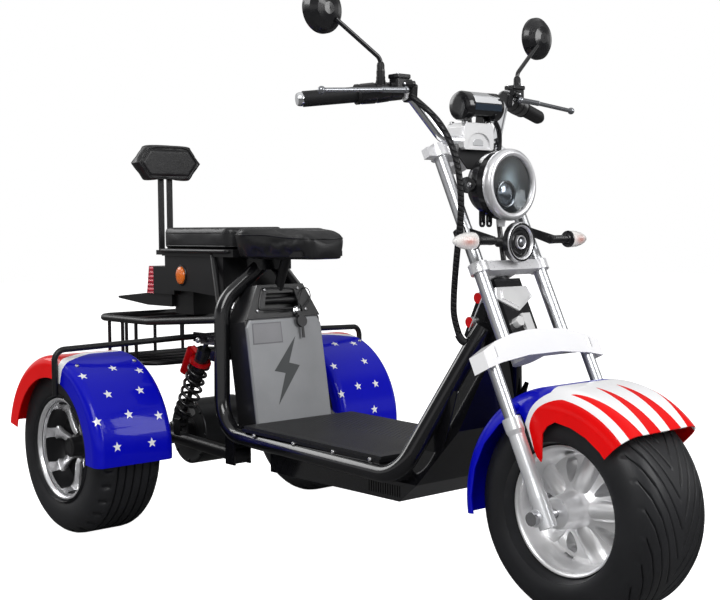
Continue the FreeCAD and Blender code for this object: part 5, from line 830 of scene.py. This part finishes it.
def rider_shape(place):
    """The rider's seat falls away towards its nose and is waisted below."""
    x, y, z = place
    forward = max(0.0, (x + 0.17) / 0.14)
    z -= 0.019 * forward ** 2 * (1 if z > 0.78 else 0.15)
    z += 0.006 * max(0.0, 1 - abs(x + 0.2) / 0.09) * (1 if z > 0.78 else 0)
    return Vector((x, y * (1 - 0.1 * max(0.0, (0.785 - z) / 0.04)), z))


driver_seat = swollen("driver_seat", "driver_seat_pad", 0.003, 0.007, rider_shape, 0.021)
pleat_pitch, pleat_depth, pleat_width = 0.022, 0.0028, 0.0032
for point in driver_seat.data.vertices:
    x, y, z = point.co
    fade = (min(1, max(0, (x + 0.285) / 0.03)) * min(1, max(0, (-0.075 - x) / 0.04))
            * min(1, max(0, (0.088 - abs(y)) / 0.012)))
    if z > 0.775 and fade > 0:
        beat = (y + 0.35) % pleat_pitch - pleat_pitch / 2
        point.co.z -= pleat_depth * fade * math.exp(-(beat / pleat_width) ** 2)
piping("driver_seat_piping", driver_seat, (-0.19, 0), lambda x: 0.791 - 0.016 * max(0.0, (x + 0.17) / 0.14), 0.0022)
passenger_seat = swollen("passenger_seat", "passenger_seat_pad", 0.003, 0.006,
                         lambda place: place + Vector((0, 0, 0.004 * (1 if place.z > 0.79 else 0))))
piping("passenger_seat_piping", passenger_seat, (-0.5, 0), lambda x: 0.7975, 0.0022)
piping("passenger_seat_lower_piping", passenger_seat, (-0.5, 0), lambda x: 0.76, 0.0018)
rim_line = [(-0.684, -0.098), (-0.684, 0.098), (-0.655, 0.106), (-0.35, 0.106), (-0.335, 0.098), (-0.335, -0.098),
            (-0.35, -0.106), (-0.655, -0.106)]
wire("passenger_pan_rim", [(x, y, 0.7465) for x, y in rim_line], 0.0055, pan_black, "black_plastic", "chassis",
     closed=True)


# Backrest
# A six-sided cushion of the same vinyl on two flat steel struts, with a seam pressed into its front
# and piping around its edge.

backrest = swollen("backrest_pad", "backrest_cushion", 0.003, 0.006)
low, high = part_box("backrest_pad")
pad_up, pad_half_width, pad_half_height = 1.005, 0.118, 0.056
for point in backrest.data.vertices:
    x, y, z = point.co
    inward = min(pad_half_height - abs(z - pad_up), (pad_half_width - abs(y) - 0.75 * abs(z - pad_up)) * 0.8)
    if x > (low.x + high.x) / 2:
        point.co.x -= 0.0032 * math.exp(-((inward - 0.017) / 0.0028) ** 2)
top_edge = [(-0.118, 0), (-0.092, 0.03), (-0.072, 0.056), (0, 0.056), (0.072, 0.056), (0.092, 0.03)]
edge = [(y * 0.86, pad_up + z * 0.84) for y, z in top_edge + [(-y, -z) for y, z in top_edge]]
wire("backrest_piping", [(high.x - 0.0022, y, z) for y, z in edge], 0.002, seat_black, "seat_vinyl", "chassis",
     closed=True)


# Tail lamp, side lamps and tail mudguard
# A ribbed red lens on a black housing, a ribbed amber lamp on each side and a black tongue below.

tail_red = finish("tail_red", (0.5, 0.003, 0.03), 0.18, grain=200, lacquer=0.8)
x, y, z = place_in(tail_red)
ridges(tail_red, waves(z + y * 0.55, 0.0125, 0.005), 0.003)
dress("tail_lens", tail_red)
lamp_amber = finish("lamp_amber", (0.8, 0.17, 0.012), 0.16, grain=200, lacquer=0.8)
x, y, z = place_in(lamp_amber)
ridges(lamp_amber, waves(x, 0.006, 0.003), 0.0012)


def both(make):
    """Makes a piece for the right side and one for the left, and joins them."""
    return joined([make(hand) for hand in (-1, 1)])


def side_lamp(outline):
    """A turned part on each side of the seat box, a little narrower than round."""
    return both(lambda hand: moved(turned(outline, origin, z_axis, 48), Matrix.Translation(
        (-0.58225, hand * 0.09, 0.676)) @ Matrix.Rotation(-hand * math.pi / 2, 4, "X") @ Matrix.Scale(0.84, 4, x_axis)))


lenses = side_lamp([(-0.01, 0.0255), (0.003, 0.0255), (0.007, 0.0235), (0.0098, 0.018), (0.011, 0.009),
                    (0.0112, 0.00001)])
settle(lenses, "side_lamp_lenses", lamp_amber, "amber_lens", "chassis", "side_lamps")
rings = side_lamp([(-0.01, 0.0256), (-0.01, 0.0305), (0.001, 0.0305), (0.0028, 0.029), (0.0032, 0.0256),
                   (-0.01, 0.0256)])
settle(rings, "side_lamp_rings", pan_black, "black_plastic", "chassis")
dress("tail_housing", pan_black)
dress("tail_mudguard", pan_black)


# Fork
# Satin plated steering tubes in cast clamps with a pinch bolt on each side, silver sliders below,
# a white pressed cover on the lower bridge, and a black plate over the front of the top clamp.

rake = math.radians(25.5)


def on_fork(along, side, ahead):
    """A place by its distance up the fork line, to the left and ahead of the front axle."""
    return front_middle + Vector((-along * math.sin(rake) + ahead * math.cos(rake), side,
                                  along * math.cos(rake) + ahead * math.sin(rake)))


fork_ahead = (on_fork(0, 0, 1) - on_fork(0, 0, 0)).normalized()
slider_silver = finish("slider_silver", (0.7, 0.71, 0.73), 0.3, metal=0.6, grain=500, relief=0.00004, lacquer=0.3)
tube_satin = finish("tube_satin", (0.6, 0.61, 0.63), 0.3, metal=0.95, grain=900, relief=0.00002, uneven=0.04)
clamp_silver = finish("clamp_silver", (0.8, 0.8, 0.82), 0.3, metal=0.55, grain=300, relief=0.00008, uneven=0.08)
cover_white = finish("cover_white", (0.8, 0.8, 0.81), 0.25, grain=200, relief=0.00002, lacquer=0.4, shade=0.02,
                     shine=0.3)
dress("fork_sliders", slider_silver)
dress("fork_tubes", tube_satin)
dress("fork_clamps", clamp_silver)
# A black plate over the middle of the top clamp's front, under the riser.
stay = slab([on_fork(along, side, 0.025) for along, side in (
    (0.77, -0.045), (0.836, -0.074), (0.842, -0.07), (0.842, 0.07), (0.836, 0.074), (0.77, 0.045))],
    fork_ahead * 0.0035)
settle(softened(stay, 0.0012), "top_clamp_black_plate", powder_black, "black_steel", "steering")
dress("yoke_cover", cover_white)
screws("clamp_screws", bolt_zinc, "steering",
       [(on_fork(along, side * 0.096, 0.0243), fork_ahead) for side in (-1, 1) for along in (0.817, 0.5475)], 0.005)


# Steering head trim
# A bright plated shield with the steering lock, bright edges on the black shroud, red reflectors in
# silver holders on its flanks, and welded webs where the rails rise to it.

shield_chrome = finish("shield_chrome", (0.94, 0.94, 0.96), 0.2, metal=0.6, grain=120, relief=0.00003, uneven=0.05)
dress("neck_shield", shield_chrome)
for hand, outward in hands:
    low, high = Vector((0.516, outward * 0.0585, 0.579)), Vector((0.56, outward * 0.0585, 0.66))
    wire(f"neck_edge_{hand}", [low, (low + high) / 2, high], 0.0014, clamp_silver, "chrome", "chassis")


def standing(side, outline):
    """The places of an upright outline, given by its lengthwise places and heights, at one side."""
    return [(x, side, z) for x, z in outline]


webs = both(lambda hand: slab(standing(hand * 0.115, ((0.43, 0.3), (0.527, 0.452), (0.537, 0.45), (0.505, 0.35),
                                                      (0.48, 0.3))), (0, hand * 0.003, 0)))
settle(webs, "neck_webs", frame_black, "black_frame", "chassis")
reflector_red = finish("reflector_red", (0.55, 0.004, 0.006), 0.12, grain=300, lacquer=0.6)
dress("side_reflectors", clamp_silver)
dress("side_reflectors", reflector_red, lambda centre, normal: abs(normal.y) > 0.9)


# Shock absorbers
# Coil springs over black dampers, each with a red reservoir and collar.

spring_black = finish("spring_black", (0.008, 0.008, 0.009), 0.25, grain=400, lacquer=0.4, shine=0.4)
shock_red = finish("shock_red", (0.5, 0.004, 0.006), 0.2, metal=0.3, grain=300, lacquer=0.6)
dress("shocks", spring_black)
dress("shock_springs", spring_black)
dress("shock_reservoirs", shock_red)
screws("shock_bolts", bolt_zinc, "chassis", [(Vector((ahead, hand * 0.1795, height)), (0, hand, 0)) for hand in (-1, 1)
                                             for ahead, height in ((-0.3692, 0.51), (-0.5042, 0.27))], 0.008)


# Handlebar and controls
# A plated bar in a plated riser, with rubber grips, black switch housings with brake reservoirs,
# ball-ended levers, and mirrors on rubber-booted stems.

switch_black = finish("switch_black", (0.007, 0.007, 0.008), 0.24, grain=500, relief=0.00005, lacquer=0.3, shine=0.4)
grip_rubber = finish("grip_rubber", (0.009, 0.009, 0.01), 0.5, grain=900, relief=0.00015, shine=0.3)
lever_satin = finish("lever_satin", (0.3, 0.31, 0.33), 0.26, metal=0.9, grain=500, relief=0.00003)
mirror_silver = finish("mirror_silver", (0.9, 0.91, 0.92), 0.03, metal=1.0, grain=50, relief=0.000001, uneven=0.01,
                       shade=0.01)
dress("handlebar", chrome)
dress("brake_levers", lever_satin)
dress("grips", grip_rubber)
dress("mirrors", switch_black)
dress("mirror_glasses", mirror_silver)
clamp_top = on_fork(0.828, 0, 0.008)
bar_bend, bar_end = clamp_top + Vector((-0.0328, 0.16, 0.1277)), clamp_top + Vector((-0.1193, 0.378, 0.1027))


def on_bar(share, hand):
    """A place on the handlebar's outer run, by its share of the way from the bend to the end."""
    place = bar_bend + (bar_end - bar_bend) * share
    return Vector((place.x, place.y * hand, place.z))


riser_front, riser_line = 0.4897, [(0.048, 0.984), (0.048, 1.029), (0.04, 1.0393)]
riser = slab([(0.4377, -0.048, 0.984), (0.4377, -0.044, 0.9793), (0.4377, 0.044, 0.9793)]
             + [(0.4377, y, z) for y, z in riser_line] + [(0.4377, -y, z) for y, z in reversed(riser_line[1:])],
             (0.056, 0, 0))
arch = [(riser_front, 0.036 * math.cos(math.radians(turn)), 0.99 + 0.027 * math.sin(math.radians(turn)))
        for turn in range(0, 181, 15)]
carved(riser, slab(arch + [(riser_front, -0.036, 0.984), (riser_front, 0.036, 0.984)], (0.01, 0, 0)))
for side in (-1, 1):
    carved(riser, slab(standing(side * 0.0465, ((0.43, 1.0075), (0.5, 1.0075), (0.5, 1.0095), (0.43, 1.0095))),
                       (0, side * 0.005, 0)))
settle(softened(riser, 0.0016), "riser_block", shield_chrome, "chrome", "steering", "handlebar_riser")
badge = slab([(riser_front, y, z) for y, z in ((-0.016, 0.989), (0.016, 0.989), (0.016, 0.998), (0.008, 1.003),
                                               (-0.008, 1.003), (-0.016, 0.998))], (0.0018, 0, 0))
settle(softened(badge, 0.0006), "riser_badge", chrome, "chrome", "steering")
barrels, bright, boxes = [], [], []
for hand in (-1, 1):
    way = on_bar(1, hand) - on_bar(0, hand)
    turn = Vector(z_axis).rotation_difference(way).to_matrix().to_4x4()
    outline = [(0.05, 0.0125), (0.05, 0.018), (0.06, 0.02), (0.165, 0.0205), (0.17, 0.019), (0.18, 0.019),
               (0.185, 0.0212), (0.29, 0.0225), (0.3, 0.0212), (0.31, 0.0212), (0.32, 0.0228), (0.44, 0.0222),
               (0.462, 0.0205), (0.47, 0.016)]
    barrel = turned([(share * way.length, radius) for share, radius in outline], origin, z_axis, 40)
    barrels.append(moved(barrel, Matrix.Translation(on_bar(0, hand)) @ turn))
    ring = turned([(-0.0045, 0.013), (-0.0045, 0.021), (-0.003, 0.0222), (0.003, 0.0222), (0.0045, 0.021),
                   (0.0045, 0.013)], origin, z_axis, 40)
    bright.append(moved(ring, Matrix.Translation(on_bar(0.02, hand)) @ turn))
    cylinder = turned([(-0.02, 0.0001), (-0.02, 0.006), (-0.012, 0.0068), (-0.012, 0.01), (0.026, 0.0104),
                       (0.03, 0.007), (0.036, 0.0066), (0.036, 0.0001)], origin, z_axis, 32)
    boxes.append(moved(cylinder, Matrix.Translation(on_bar(0.07, hand) + Vector((0.024, 0, 0.012))) @ turn))
    tub = [(ahead, side) for ahead, side in ((-0.016, -0.02), (0.016, -0.02), (0.016, 0.02), (-0.016, 0.02))]
    for spread, foot, rise in ((0.9, 1.099, 0.031), (1.0, 1.129, 0.01)):
        box = slab([(0.4335 + ahead * spread, hand * 0.186 + side * spread, foot) for ahead, side in tub], (0, 0, rise))
        boxes.append(softened(box, 0.0028, 3))
    pod = slab(standing(hand * 0.144, ((0.418, 1.08), (0.448, 1.085), (0.451, 1.118), (0.43, 1.126), (0.412, 1.115))),
               (0, hand * 0.02, 0))
    boxes.append(softened(pod, 0.005, 3))
settle(joined(barrels), "switch_housings", switch_black, "gloss_black", "steering", "switchgear")
settle(joined(bright), "switch_clamps", shield_chrome, "chrome", "steering")
settle(joined(boxes), "brake_reservoirs", switch_black, "gloss_black", "steering")
screws("reservoir_screws", chrome, "steering",
       [(Vector((0.4335 + ahead, hand * side, 1.1388)), z_axis) for hand in (-1, 1)
        for ahead, side in ((-0.01, 0.172), (0.01, 0.2))]
       + [(Vector((0.45, hand * 0.186, 1.118)), x_axis) for hand in (-1, 1)], 0.0032)
boot_line = [(0.012, 0.006), (0.013, 0.01), (0.022, 0.0108), (0.023, 0.0098), (0.03, 0.01), (0.031, 0.0092),
             (0.042, 0.0094), (0.043, 0.0086), (0.056, 0.0084), (0.06, 0.007), (0.062, 0.0054), (0.062, 0.0048)]
boots = both(lambda hand: turned(boot_line, Vector((bar_bend.x - 0.015, hand * 0.22, bar_bend.z - 0.004)),
                                 z_axis, 32))
settle(boots, "mirror_boots", grip_rubber, "black_plastic", "steering")
screws("riser_screws", bolt_zinc, "steering",
       [(Vector((0.4657 + ahead, side, 1.0391)), z_axis) for ahead in (-0.021, 0.021)
        for side in (-0.037, 0.037)], 0.006)


# Meter
# A black capsule across the riser with a slanted bright band over its display.

meter_black = finish("meter_black", (0.006, 0.006, 0.007), 0.2, grain=400, relief=0.00004, lacquer=0.4, shine=0.4)
meter_band = finish("meter_band", (0.86, 0.87, 0.89), 0.22, metal=0.5, grain=200, relief=0.00002, lacquer=0.5)
cap_line = [(0.03, 0.02), (0.032, 0.03), (0.035, 0.0325), (0.052, 0.033), (0.0565, 0.031), (0.0588, 0.0255),
            (0.059, 0.015), (0.059, 0.00001)]
parts = [moved(turned(cap_line, origin, y_axis, 56),
               Matrix.Translation((0.4875, 0, 1.075)) @ Matrix.Diagonal((1, side, 1, 1))) for side in (-1, 1)]
hull = slab(standing(-0.048, ((0.46, 1.056), (0.4575, 1.088), (0.464, 1.102), (0.478, 1.108), (0.512, 1.095),
                              (0.5205, 1.08), (0.518, 1.064), (0.506, 1.054))), (0, 0.096, 0))
parts.append(softened(hull, 0.003, 3, 20))
for side in (-0.026, 0.018):
    foot = slab(standing(side, ((0.464, 1.0395), (0.49, 1.0395), (0.488, 1.058), (0.466, 1.058))), (0, 0.008, 0))
    parts.append(softened(foot, 0.0015))
settle(joined(parts), "meter_shell", meter_black, "gloss_black", "steering", "speedometer")


def on_meter(*outline):
    """A thin strip along the front of the meter, by its section."""
    return slab(standing(-0.038, outline), (0, 0.084, 0))


band = on_meter((0.48, 1.1076), (0.5116, 1.0956), (0.5122, 1.097), (0.4806, 1.109))
front = on_meter((0.5122, 1.0948), (0.5202, 1.0808), (0.5212, 1.0812), (0.5132, 1.0958))
settle(softened(joined([band, front]), 0.0005), "meter_band", meter_band, "chrome", "steering")
display_dark = finish("display_dark", (0.02, 0.03, 0.045), 0.08, grain=200, relief=0.00001, lacquer=0.8)
pane = on_meter((0.5206, 1.079), (0.5184, 1.065), (0.5194, 1.0648), (0.5217, 1.079))
settle(softened(pane, 0.0005), "meter_display", display_dark, "clear_lens", "steering")


# Headlamp, horn and signals
# A black bowl with a satin rim, a dark reflector with a painted highlight and a projector behind clear
# glass, a round horn with a plated rim, and clear teardrop signals on black ribbed stalks.

def inner_tint_and_painted_highlight(material, across, up, strength, base, spot):
    """A soft spot of a second colour, from two distances that are 1 at its edge: a painted highlight on the headlamp
    reflector, the amber inside on the signals.
    """
    tint = material.node_tree.nodes.new("ShaderNodeMix")
    tint.data_type = "RGBA"
    tint.inputs["A"].default_value = base
    tint.inputs["B"].default_value = spot
    spot_weight = reckon("POWER", 2.718, (across ** 2.0 + up ** 2.0) * -1.0)
    (spot_weight * strength).feed(tint.inputs["Factor"])
    Field(tint.outputs["Result"]).feed(material.node_tree.nodes["Principled BSDF"].inputs["Base Color"])


lamp_middle = middle_of("headlamp_bezel")
lamp_back = Vector((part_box("headlamp_bezel")[0].x, 0, lamp_middle.z))
dress("headlamp_bowl", switch_black)
rim_satin = finish("rim_satin", (0.78, 0.78, 0.8), 0.3, metal=0.75, grain=700, relief=0.00002, uneven=0.04)
bezel = turned([(0.0, 0.061), (0.0, 0.0772), (0.005, 0.0783), (0.011, 0.0784), (0.0165, 0.0772), (0.0203, 0.074),
                (0.0218, 0.0695), (0.0213, 0.0655), (0.019, 0.0628), (0.015, 0.0618), (0.0, 0.061)],
               lamp_back, x_axis, 96)
settle(bezel, "headlamp_rim", rim_satin, "chrome", "steering", "headlamp_bezel")
# The reflector's colour is painted reflection: dark towards its edge, with a painted bluish-white highlight above its
# middle.
dish_painted_reflection = finish("dish_painted_reflection", (0.055, 0.062, 0.072), 0.3, metal=0.5, grain=150, relief=0.00004, lacquer=0.6)
x, y, z = place_in(dish_painted_reflection)
inner_tint_and_painted_highlight(dish_painted_reflection, (y - 0.006) / 0.02, (z - (lamp_middle.z + 0.014)) / 0.026, 1.0, (0.01, 0.013, 0.018, 1),
        (0.62, 0.74, 0.8, 1))
dish = turned([(0.0004, 0.0606), (0.013, 0.0606), (0.0122, 0.059), (0.0062, 0.047), (0.003, 0.03), (0.0022, 0.01),
               (0.002, 0.00001)], lamp_back, x_axis, 72)
eye = lamp_back + Vector((0, -0.013, -0.02))
collar = turned([(0.003, 0.03), (0.0118, 0.0292), (0.0126, 0.0275), (0.0118, 0.0258), (0.006, 0.025)],
                eye, x_axis, 48)
settle(dish, "headlamp_reflector", dish_painted_reflection, "lamp_glass", "steering", "headlamp_lens")
settle(collar, "headlamp_eye_ring", lever_satin, "chrome", "steering")
ball = turned([(0.004, 0.024), (0.008, 0.0225), (0.0108, 0.018), (0.0124, 0.012), (0.013, 0.006), (0.0131, 0.00001)],
              eye, x_axis, 48)
ball_glass = finish("ball_glass", (0.3, 0.33, 0.38), 0.06, metal=0.9, grain=90, relief=0.00002, lacquer=1.0)
settle(ball, "headlamp_projector", ball_glass, "lamp_glass", "steering")
clear_glass = finish("clear_glass", (0.92, 0.95, 0.96), 0.03, grain=80, relief=0.000005, uneven=0.01, shade=0.01)
clear_glass.node_tree.nodes["Principled BSDF"].inputs["Transmission Weight"].default_value = 1.0
glass = turned([(0.0135, 0.0612), (0.0148, 0.0612), (0.0157, 0.045), (0.0162, 0.02), (0.0163, 0.00001),
                (0.0151, 0.00001), (0.015, 0.02), (0.0146, 0.045), (0.0135, 0.0612)], lamp_back, x_axis, 72)
settle(glass, "headlamp_glass", clear_glass, "clear_lens", "steering")

dress("horn", switch_black)
horn_low, horn_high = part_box("horn")
horn_face = Vector((horn_high.x, 0, (horn_low.z + horn_high.z) / 2))
rims = [turned([(-0.015, 0.04), (-0.015, 0.0434), (-0.003, 0.0434), (-0.0008, 0.042), (-0.0001, 0.039),
                (-0.0008, 0.036), (-0.004, 0.0335), (-0.007, 0.033)], horn_face, x_axis, 64),
        turned([(-0.008, 0.015), (-0.002, 0.015), (-0.001, 0.014), (-0.0016, 0.012), (-0.005, 0.011)],
               horn_face, x_axis, 40)]
settle(joined(rims), "horn_rims", rim_satin, "chrome", "steering")
core = turned([(-0.008, 0.008), (-0.002, 0.0078), (-0.0008, 0.006), (-0.0002, 0.003), (-0.0001, 0.00001)],
              horn_face, x_axis, 32)
settle(core, "horn_core", lever_satin, "chrome", "steering")

stalk = [(0.09, 0.00001), (0.09, 0.008), (0.0915, 0.0092), (0.096, 0.0092), (0.097, 0.007)]
for rib in range(8):
    place = 0.098 + rib * 0.006
    stalk += [(place, 0.0078), (place + 0.001, 0.0092), (place + 0.0035, 0.0092), (place + 0.0045, 0.0078)]
stalk += [(0.1465, 0.008), (0.1475, 0.0105), (0.1495, 0.012), (0.1495, 0.00001)]
arms = []
for hand in (-1, 1):
    arms.append(moved(turned(stalk, origin, y_axis, 32),
                      Matrix.Translation((0.6217, 0, 0.779)) @ Matrix.Diagonal((1, hand, 1, 1))))
    arm = slab(standing(hand * 0.1, ((0.553, 0.788), (0.556, 0.806), (0.628, 0.788), (0.632, 0.779), (0.628, 0.77),
                                     (0.615, 0.769))), (0, hand * -0.004, 0))
    arms.append(softened(arm, 0.001))
    band = turned([(-0.008, 0.018), (-0.008, 0.0215), (0.008, 0.0215), (0.008, 0.018), (-0.008, 0.018)], origin,
                  z_axis, 40)
    arms.append(moved(band, Matrix.Translation(on_fork(0.628, hand * 0.096, 0)) @ Matrix.Rotation(-rake, 4, "Y")))
    ear = slab(standing(hand * 0.074, ((0.5114, 0.884), (0.5114, 0.914), (0.53, 0.917), (0.552, 0.908),
                                       (0.5578, 0.899), (0.552, 0.89), (0.53, 0.8811))), (0, hand * 0.005, 0))
    arms.append(softened(ear, 0.0012))
strap = slab([(0.558, -0.014, 0.824), (0.558, 0.014, 0.824), (0.558, 0.01, 0.808), (0.558, -0.01, 0.808)],
             (0.003, 0, 0))
settle(joined(arms), "lamp_arms", switch_black, "black_steel", "steering", "lamp_bracket")
settle(softened(strap, 0.0008), "horn_strap", clamp_silver, "chrome", "steering")
screws("ear_bolts", bolt_zinc, "steering",
       [(Vector((0.54, hand * 0.079, 0.899)), (0, hand, 0)) for hand in (-1, 1)], 0.006)
wire("meter_lead", [(0.485, 0.056, 1.05), (0.48, 0.08, 1.035), (0.478, 0.085, 1.0), (0.476, 0.08, 0.96),
                    (0.474, 0.06, 0.93)], 0.0058, switch_black, "black_plastic", "steering")
wire("lamp_lead", [(0.52, 0.03, 0.86), (0.525, 0.029, 0.83), (0.53, 0.027, 0.8), (0.54, 0.024, 0.76),
                   (0.548, 0.022, 0.725)], 0.006, switch_black, "black_plastic", "steering")
lugs = []
lug_hole = 0.0036
for side in (-0.052, -0.03):
    lug_middle = Vector((0.551, side, 0.815))
    lug = turned([(-0.002, lug_hole), (-0.002, 0.008), (0.002, 0.008), (0.002, lug_hole), (-0.002, lug_hole)],
                 origin, x_axis, 32)
    neck = slab([(0.549, side - 0.008, 0.815), (0.549, side + 0.008, 0.815), (0.549, side + 0.008, 0.842),
                 (0.549, side - 0.008, 0.842)], (0.004, 0, 0))
    carved(neck, turned([(-0.01, 0.00001), (-0.01, lug_hole), (0.01, lug_hole), (0.01, 0.00001)], lug_middle,
                        x_axis, 24))
    lugs += [moved(lug, Matrix.Translation(lug_middle)), neck]
settle(joined(lugs), "bowl_lugs", switch_black, "black_steel", "steering")
signal_clear = finish("signal_clear", (0.8, 0.79, 0.77), 0.08, grain=200, lacquer=0.8, shade=0.1)
x, y, z = place_in(signal_clear)
inner_tint_and_painted_highlight(signal_clear, (abs(y) - 0.18) / 0.018, (z - 0.778) / 0.009, 0.8, (0.78, 0.77, 0.75, 1), (0.5, 0.17, 0.13, 1))
ridges(signal_clear, waves(y, 0.0045, 0.002), 0.0008)
signal_at = middle_of("signal_lenses")
lens_line = [(0.152, 0.015), (0.154, 0.0182), (0.164, 0.019), (0.178, 0.018), (0.192, 0.015), (0.204, 0.0104),
             (0.211, 0.006), (0.2142, 0.0024), (0.2148, 0.00001)]
back_line = [(0.149, 0.00001), (0.149, 0.015), (0.15, 0.0184), (0.153, 0.019), (0.153, 0.015), (0.1528, 0.00001)]


def signal(outline, ahead, deep, high):
    """A turned part of both signals, a little flatter than round."""
    return both(lambda hand: moved(turned(outline, origin, y_axis, 48),
                                   Matrix.Translation((signal_at.x + ahead, 0, signal_at.z))
                                   @ Matrix.Diagonal((deep, hand, high, 1))))


settle(signal(lens_line, 0.0005, 0.92, 0.98), "signal_lenses_clear", signal_clear, "clear_lens", "steering",
       "signal_lenses")
settle(signal(back_line, 0, 1, 1), "signal_backs", switch_black, "black_plastic", "steering")


# Wiring harness
# One bundle in a spiral wrap that leaves the right control, hangs beside the fork and enters the neck.

wrap_black = finish("wrap_black", (0.008, 0.008, 0.009), 0.4, grain=800, relief=0.0001, shine=0.35)
x, y, z = place_in(wrap_black)
ridges(wrap_black, waves(z + x * 0.5, 0.011, 0.003), 0.003)
route = [(0.44405, -0.162, 1.0933), (0.48575, -0.148, 1.06), (0.52175, -0.136, 1.017), (0.55275, -0.129, 0.95),
         (0.56275, -0.126, 0.855), (0.53875, -0.118, 0.754), (0.51175, -0.102, 0.655), (0.50375, -0.093, 0.602),
         (0.51675, -0.084, 0.56)]
harness = strung("control_harness_cord", route, 12)
path = [tuple(point.co) for point in bpy.data.meshes.new_from_object(harness).vertices]
harness = thickened(harness, 0.007, 4)
harness.data.materials.clear()
harness.data.materials.append(wrap_black)
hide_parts("control_harness")
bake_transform(harness)
wire("harness_boot", [(0.512, -0.087, 0.572), (0.5175, -0.0835, 0.558), (0.526, -0.074, 0.554), (0.54, -0.062, 0.552)],
     0.0086, grip_rubber, "black_plastic", "chassis")


# Studio
# A plain pale floor with soft lamps, and the camera where the photograph was taken from.

bpy.ops.object.select_all(action="DESELECT")
bpy.ops.mesh.primitive_grid_add(x_subdivisions=2, y_subdivisions=2, size=30, location=(0, 0, 0))
floor = bpy.context.object
floor.name = "studio_floor"
floor_paper = bpy.data.materials.new("floor_paper")
floor_paper.use_nodes = True
nodes, links = floor_paper.node_tree.nodes, floor_paper.node_tree.links
paper = nodes["Principled BSDF"]
paper.inputs["Roughness"].default_value = 0.8
paper.inputs["Specular IOR Level"].default_value = 0.1
paper.inputs["Emission Color"].default_value = (1, 1, 1, 1)
seen = nodes.new("ShaderNodeLightPath")
links.new(seen.outputs["Is Camera Ray"], paper.inputs["Emission Strength"])
tone = nodes.new("ShaderNodeMix")
tone.data_type = "RGBA"
tone.inputs[6].default_value = (0.62, 0.62, 0.62, 1)
tone.inputs[7].default_value = (0.12, 0.12, 0.12, 1)
links.new(seen.outputs["Is Glossy Ray"], tone.inputs[0])
links.new(tone.outputs[2], paper.inputs["Base Color"])
floor.data.materials.append(floor_paper)

world = bpy.data.worlds.new("studio_light")
bpy.context.scene.world = world
world.use_nodes = True
nodes, links = world.node_tree.nodes, world.node_tree.links
soft = nodes["Background"]
soft.inputs["Strength"].default_value = 0.7
sky = nodes.new("ShaderNodeTexCoord")
height = nodes.new("ShaderNodeSeparateXYZ")
band = nodes.new("ShaderNodeMapRange")
band.inputs["From Min"].default_value = -1.0
tint = nodes.new("ShaderNodeValToRGB")
tint.color_ramp.elements[0].position = 0.45
tint.color_ramp.elements[0].color = (0.25, 0.25, 0.26, 1)
tint.color_ramp.elements[1].position = 0.95
tint.color_ramp.elements[1].color = (1, 1, 1, 1)
for place, shade in ((0.5, 0.18), (0.53, 0.9), (0.6, 1.0), (0.66, 0.22), (0.78, 0.3), (0.84, 1.0)):
    stop = tint.color_ramp.elements.new(place)
    stop.color = (shade, shade, shade, 1)
backdrop = nodes.new("ShaderNodeBackground")
backdrop.inputs["Color"].default_value = (1, 1, 1, 1)
seen = nodes.new("ShaderNodeLightPath")
mixed = nodes.new("ShaderNodeMixShader")
links.new(sky.outputs["Generated"], height.inputs[0])
links.new(height.outputs["Z"], band.inputs["Value"])
links.new(band.outputs["Result"], tint.inputs["Fac"])
links.new(tint.outputs["Color"], soft.inputs["Color"])
links.new(seen.outputs["Is Camera Ray"], mixed.inputs["Fac"])
links.new(soft.outputs[0], mixed.inputs[1])
links.new(backdrop.outputs[0], mixed.inputs[2])
links.new(mixed.outputs[0], nodes["World Output"].inputs["Surface"])

for name, place, aim, size, power in (
        ("key_lamp", (2.6, -3.2, 3.4), (0, 0, 0.5), 2.2, 120),
        ("side_lamp", (-3.4, -1.6, 2.6), (0, 0, 0.5), 2.0, 60),
        ("front_lamp", (3.6, 1.4, 2.2), (0, 0, 0.5), 1.8, 70)):
    bpy.ops.object.light_add(type="AREA", location=place)
    lamp = bpy.context.object
    lamp.name = name
    lamp.data.size = size
    lamp.data.energy = power
    lamp.rotation_euler = (Vector(aim) - Vector(place)).to_track_quat("-Z", "Y").to_euler()

yaw, pitch, roll = math.radians(48.818), math.radians(3.386), math.radians(-0.482)
turn = Matrix.Rotation(yaw, 3, "Z") @ Matrix.Rotation(math.pi / 2 - pitch, 3, "X") @ Matrix.Rotation(roll, 3, "Z")
bpy.ops.object.camera_add(location=(2.43065, -2.052, 0.8121), rotation=turn.to_euler())
camera = bpy.context.object
camera.name = "photo_camera"
camera.data.sensor_width = 36
camera.data.lens = 1251.2 * 36 / 720
bpy.context.scene.camera = camera
bpy.context.scene.view_settings.view_transform = "Standard"
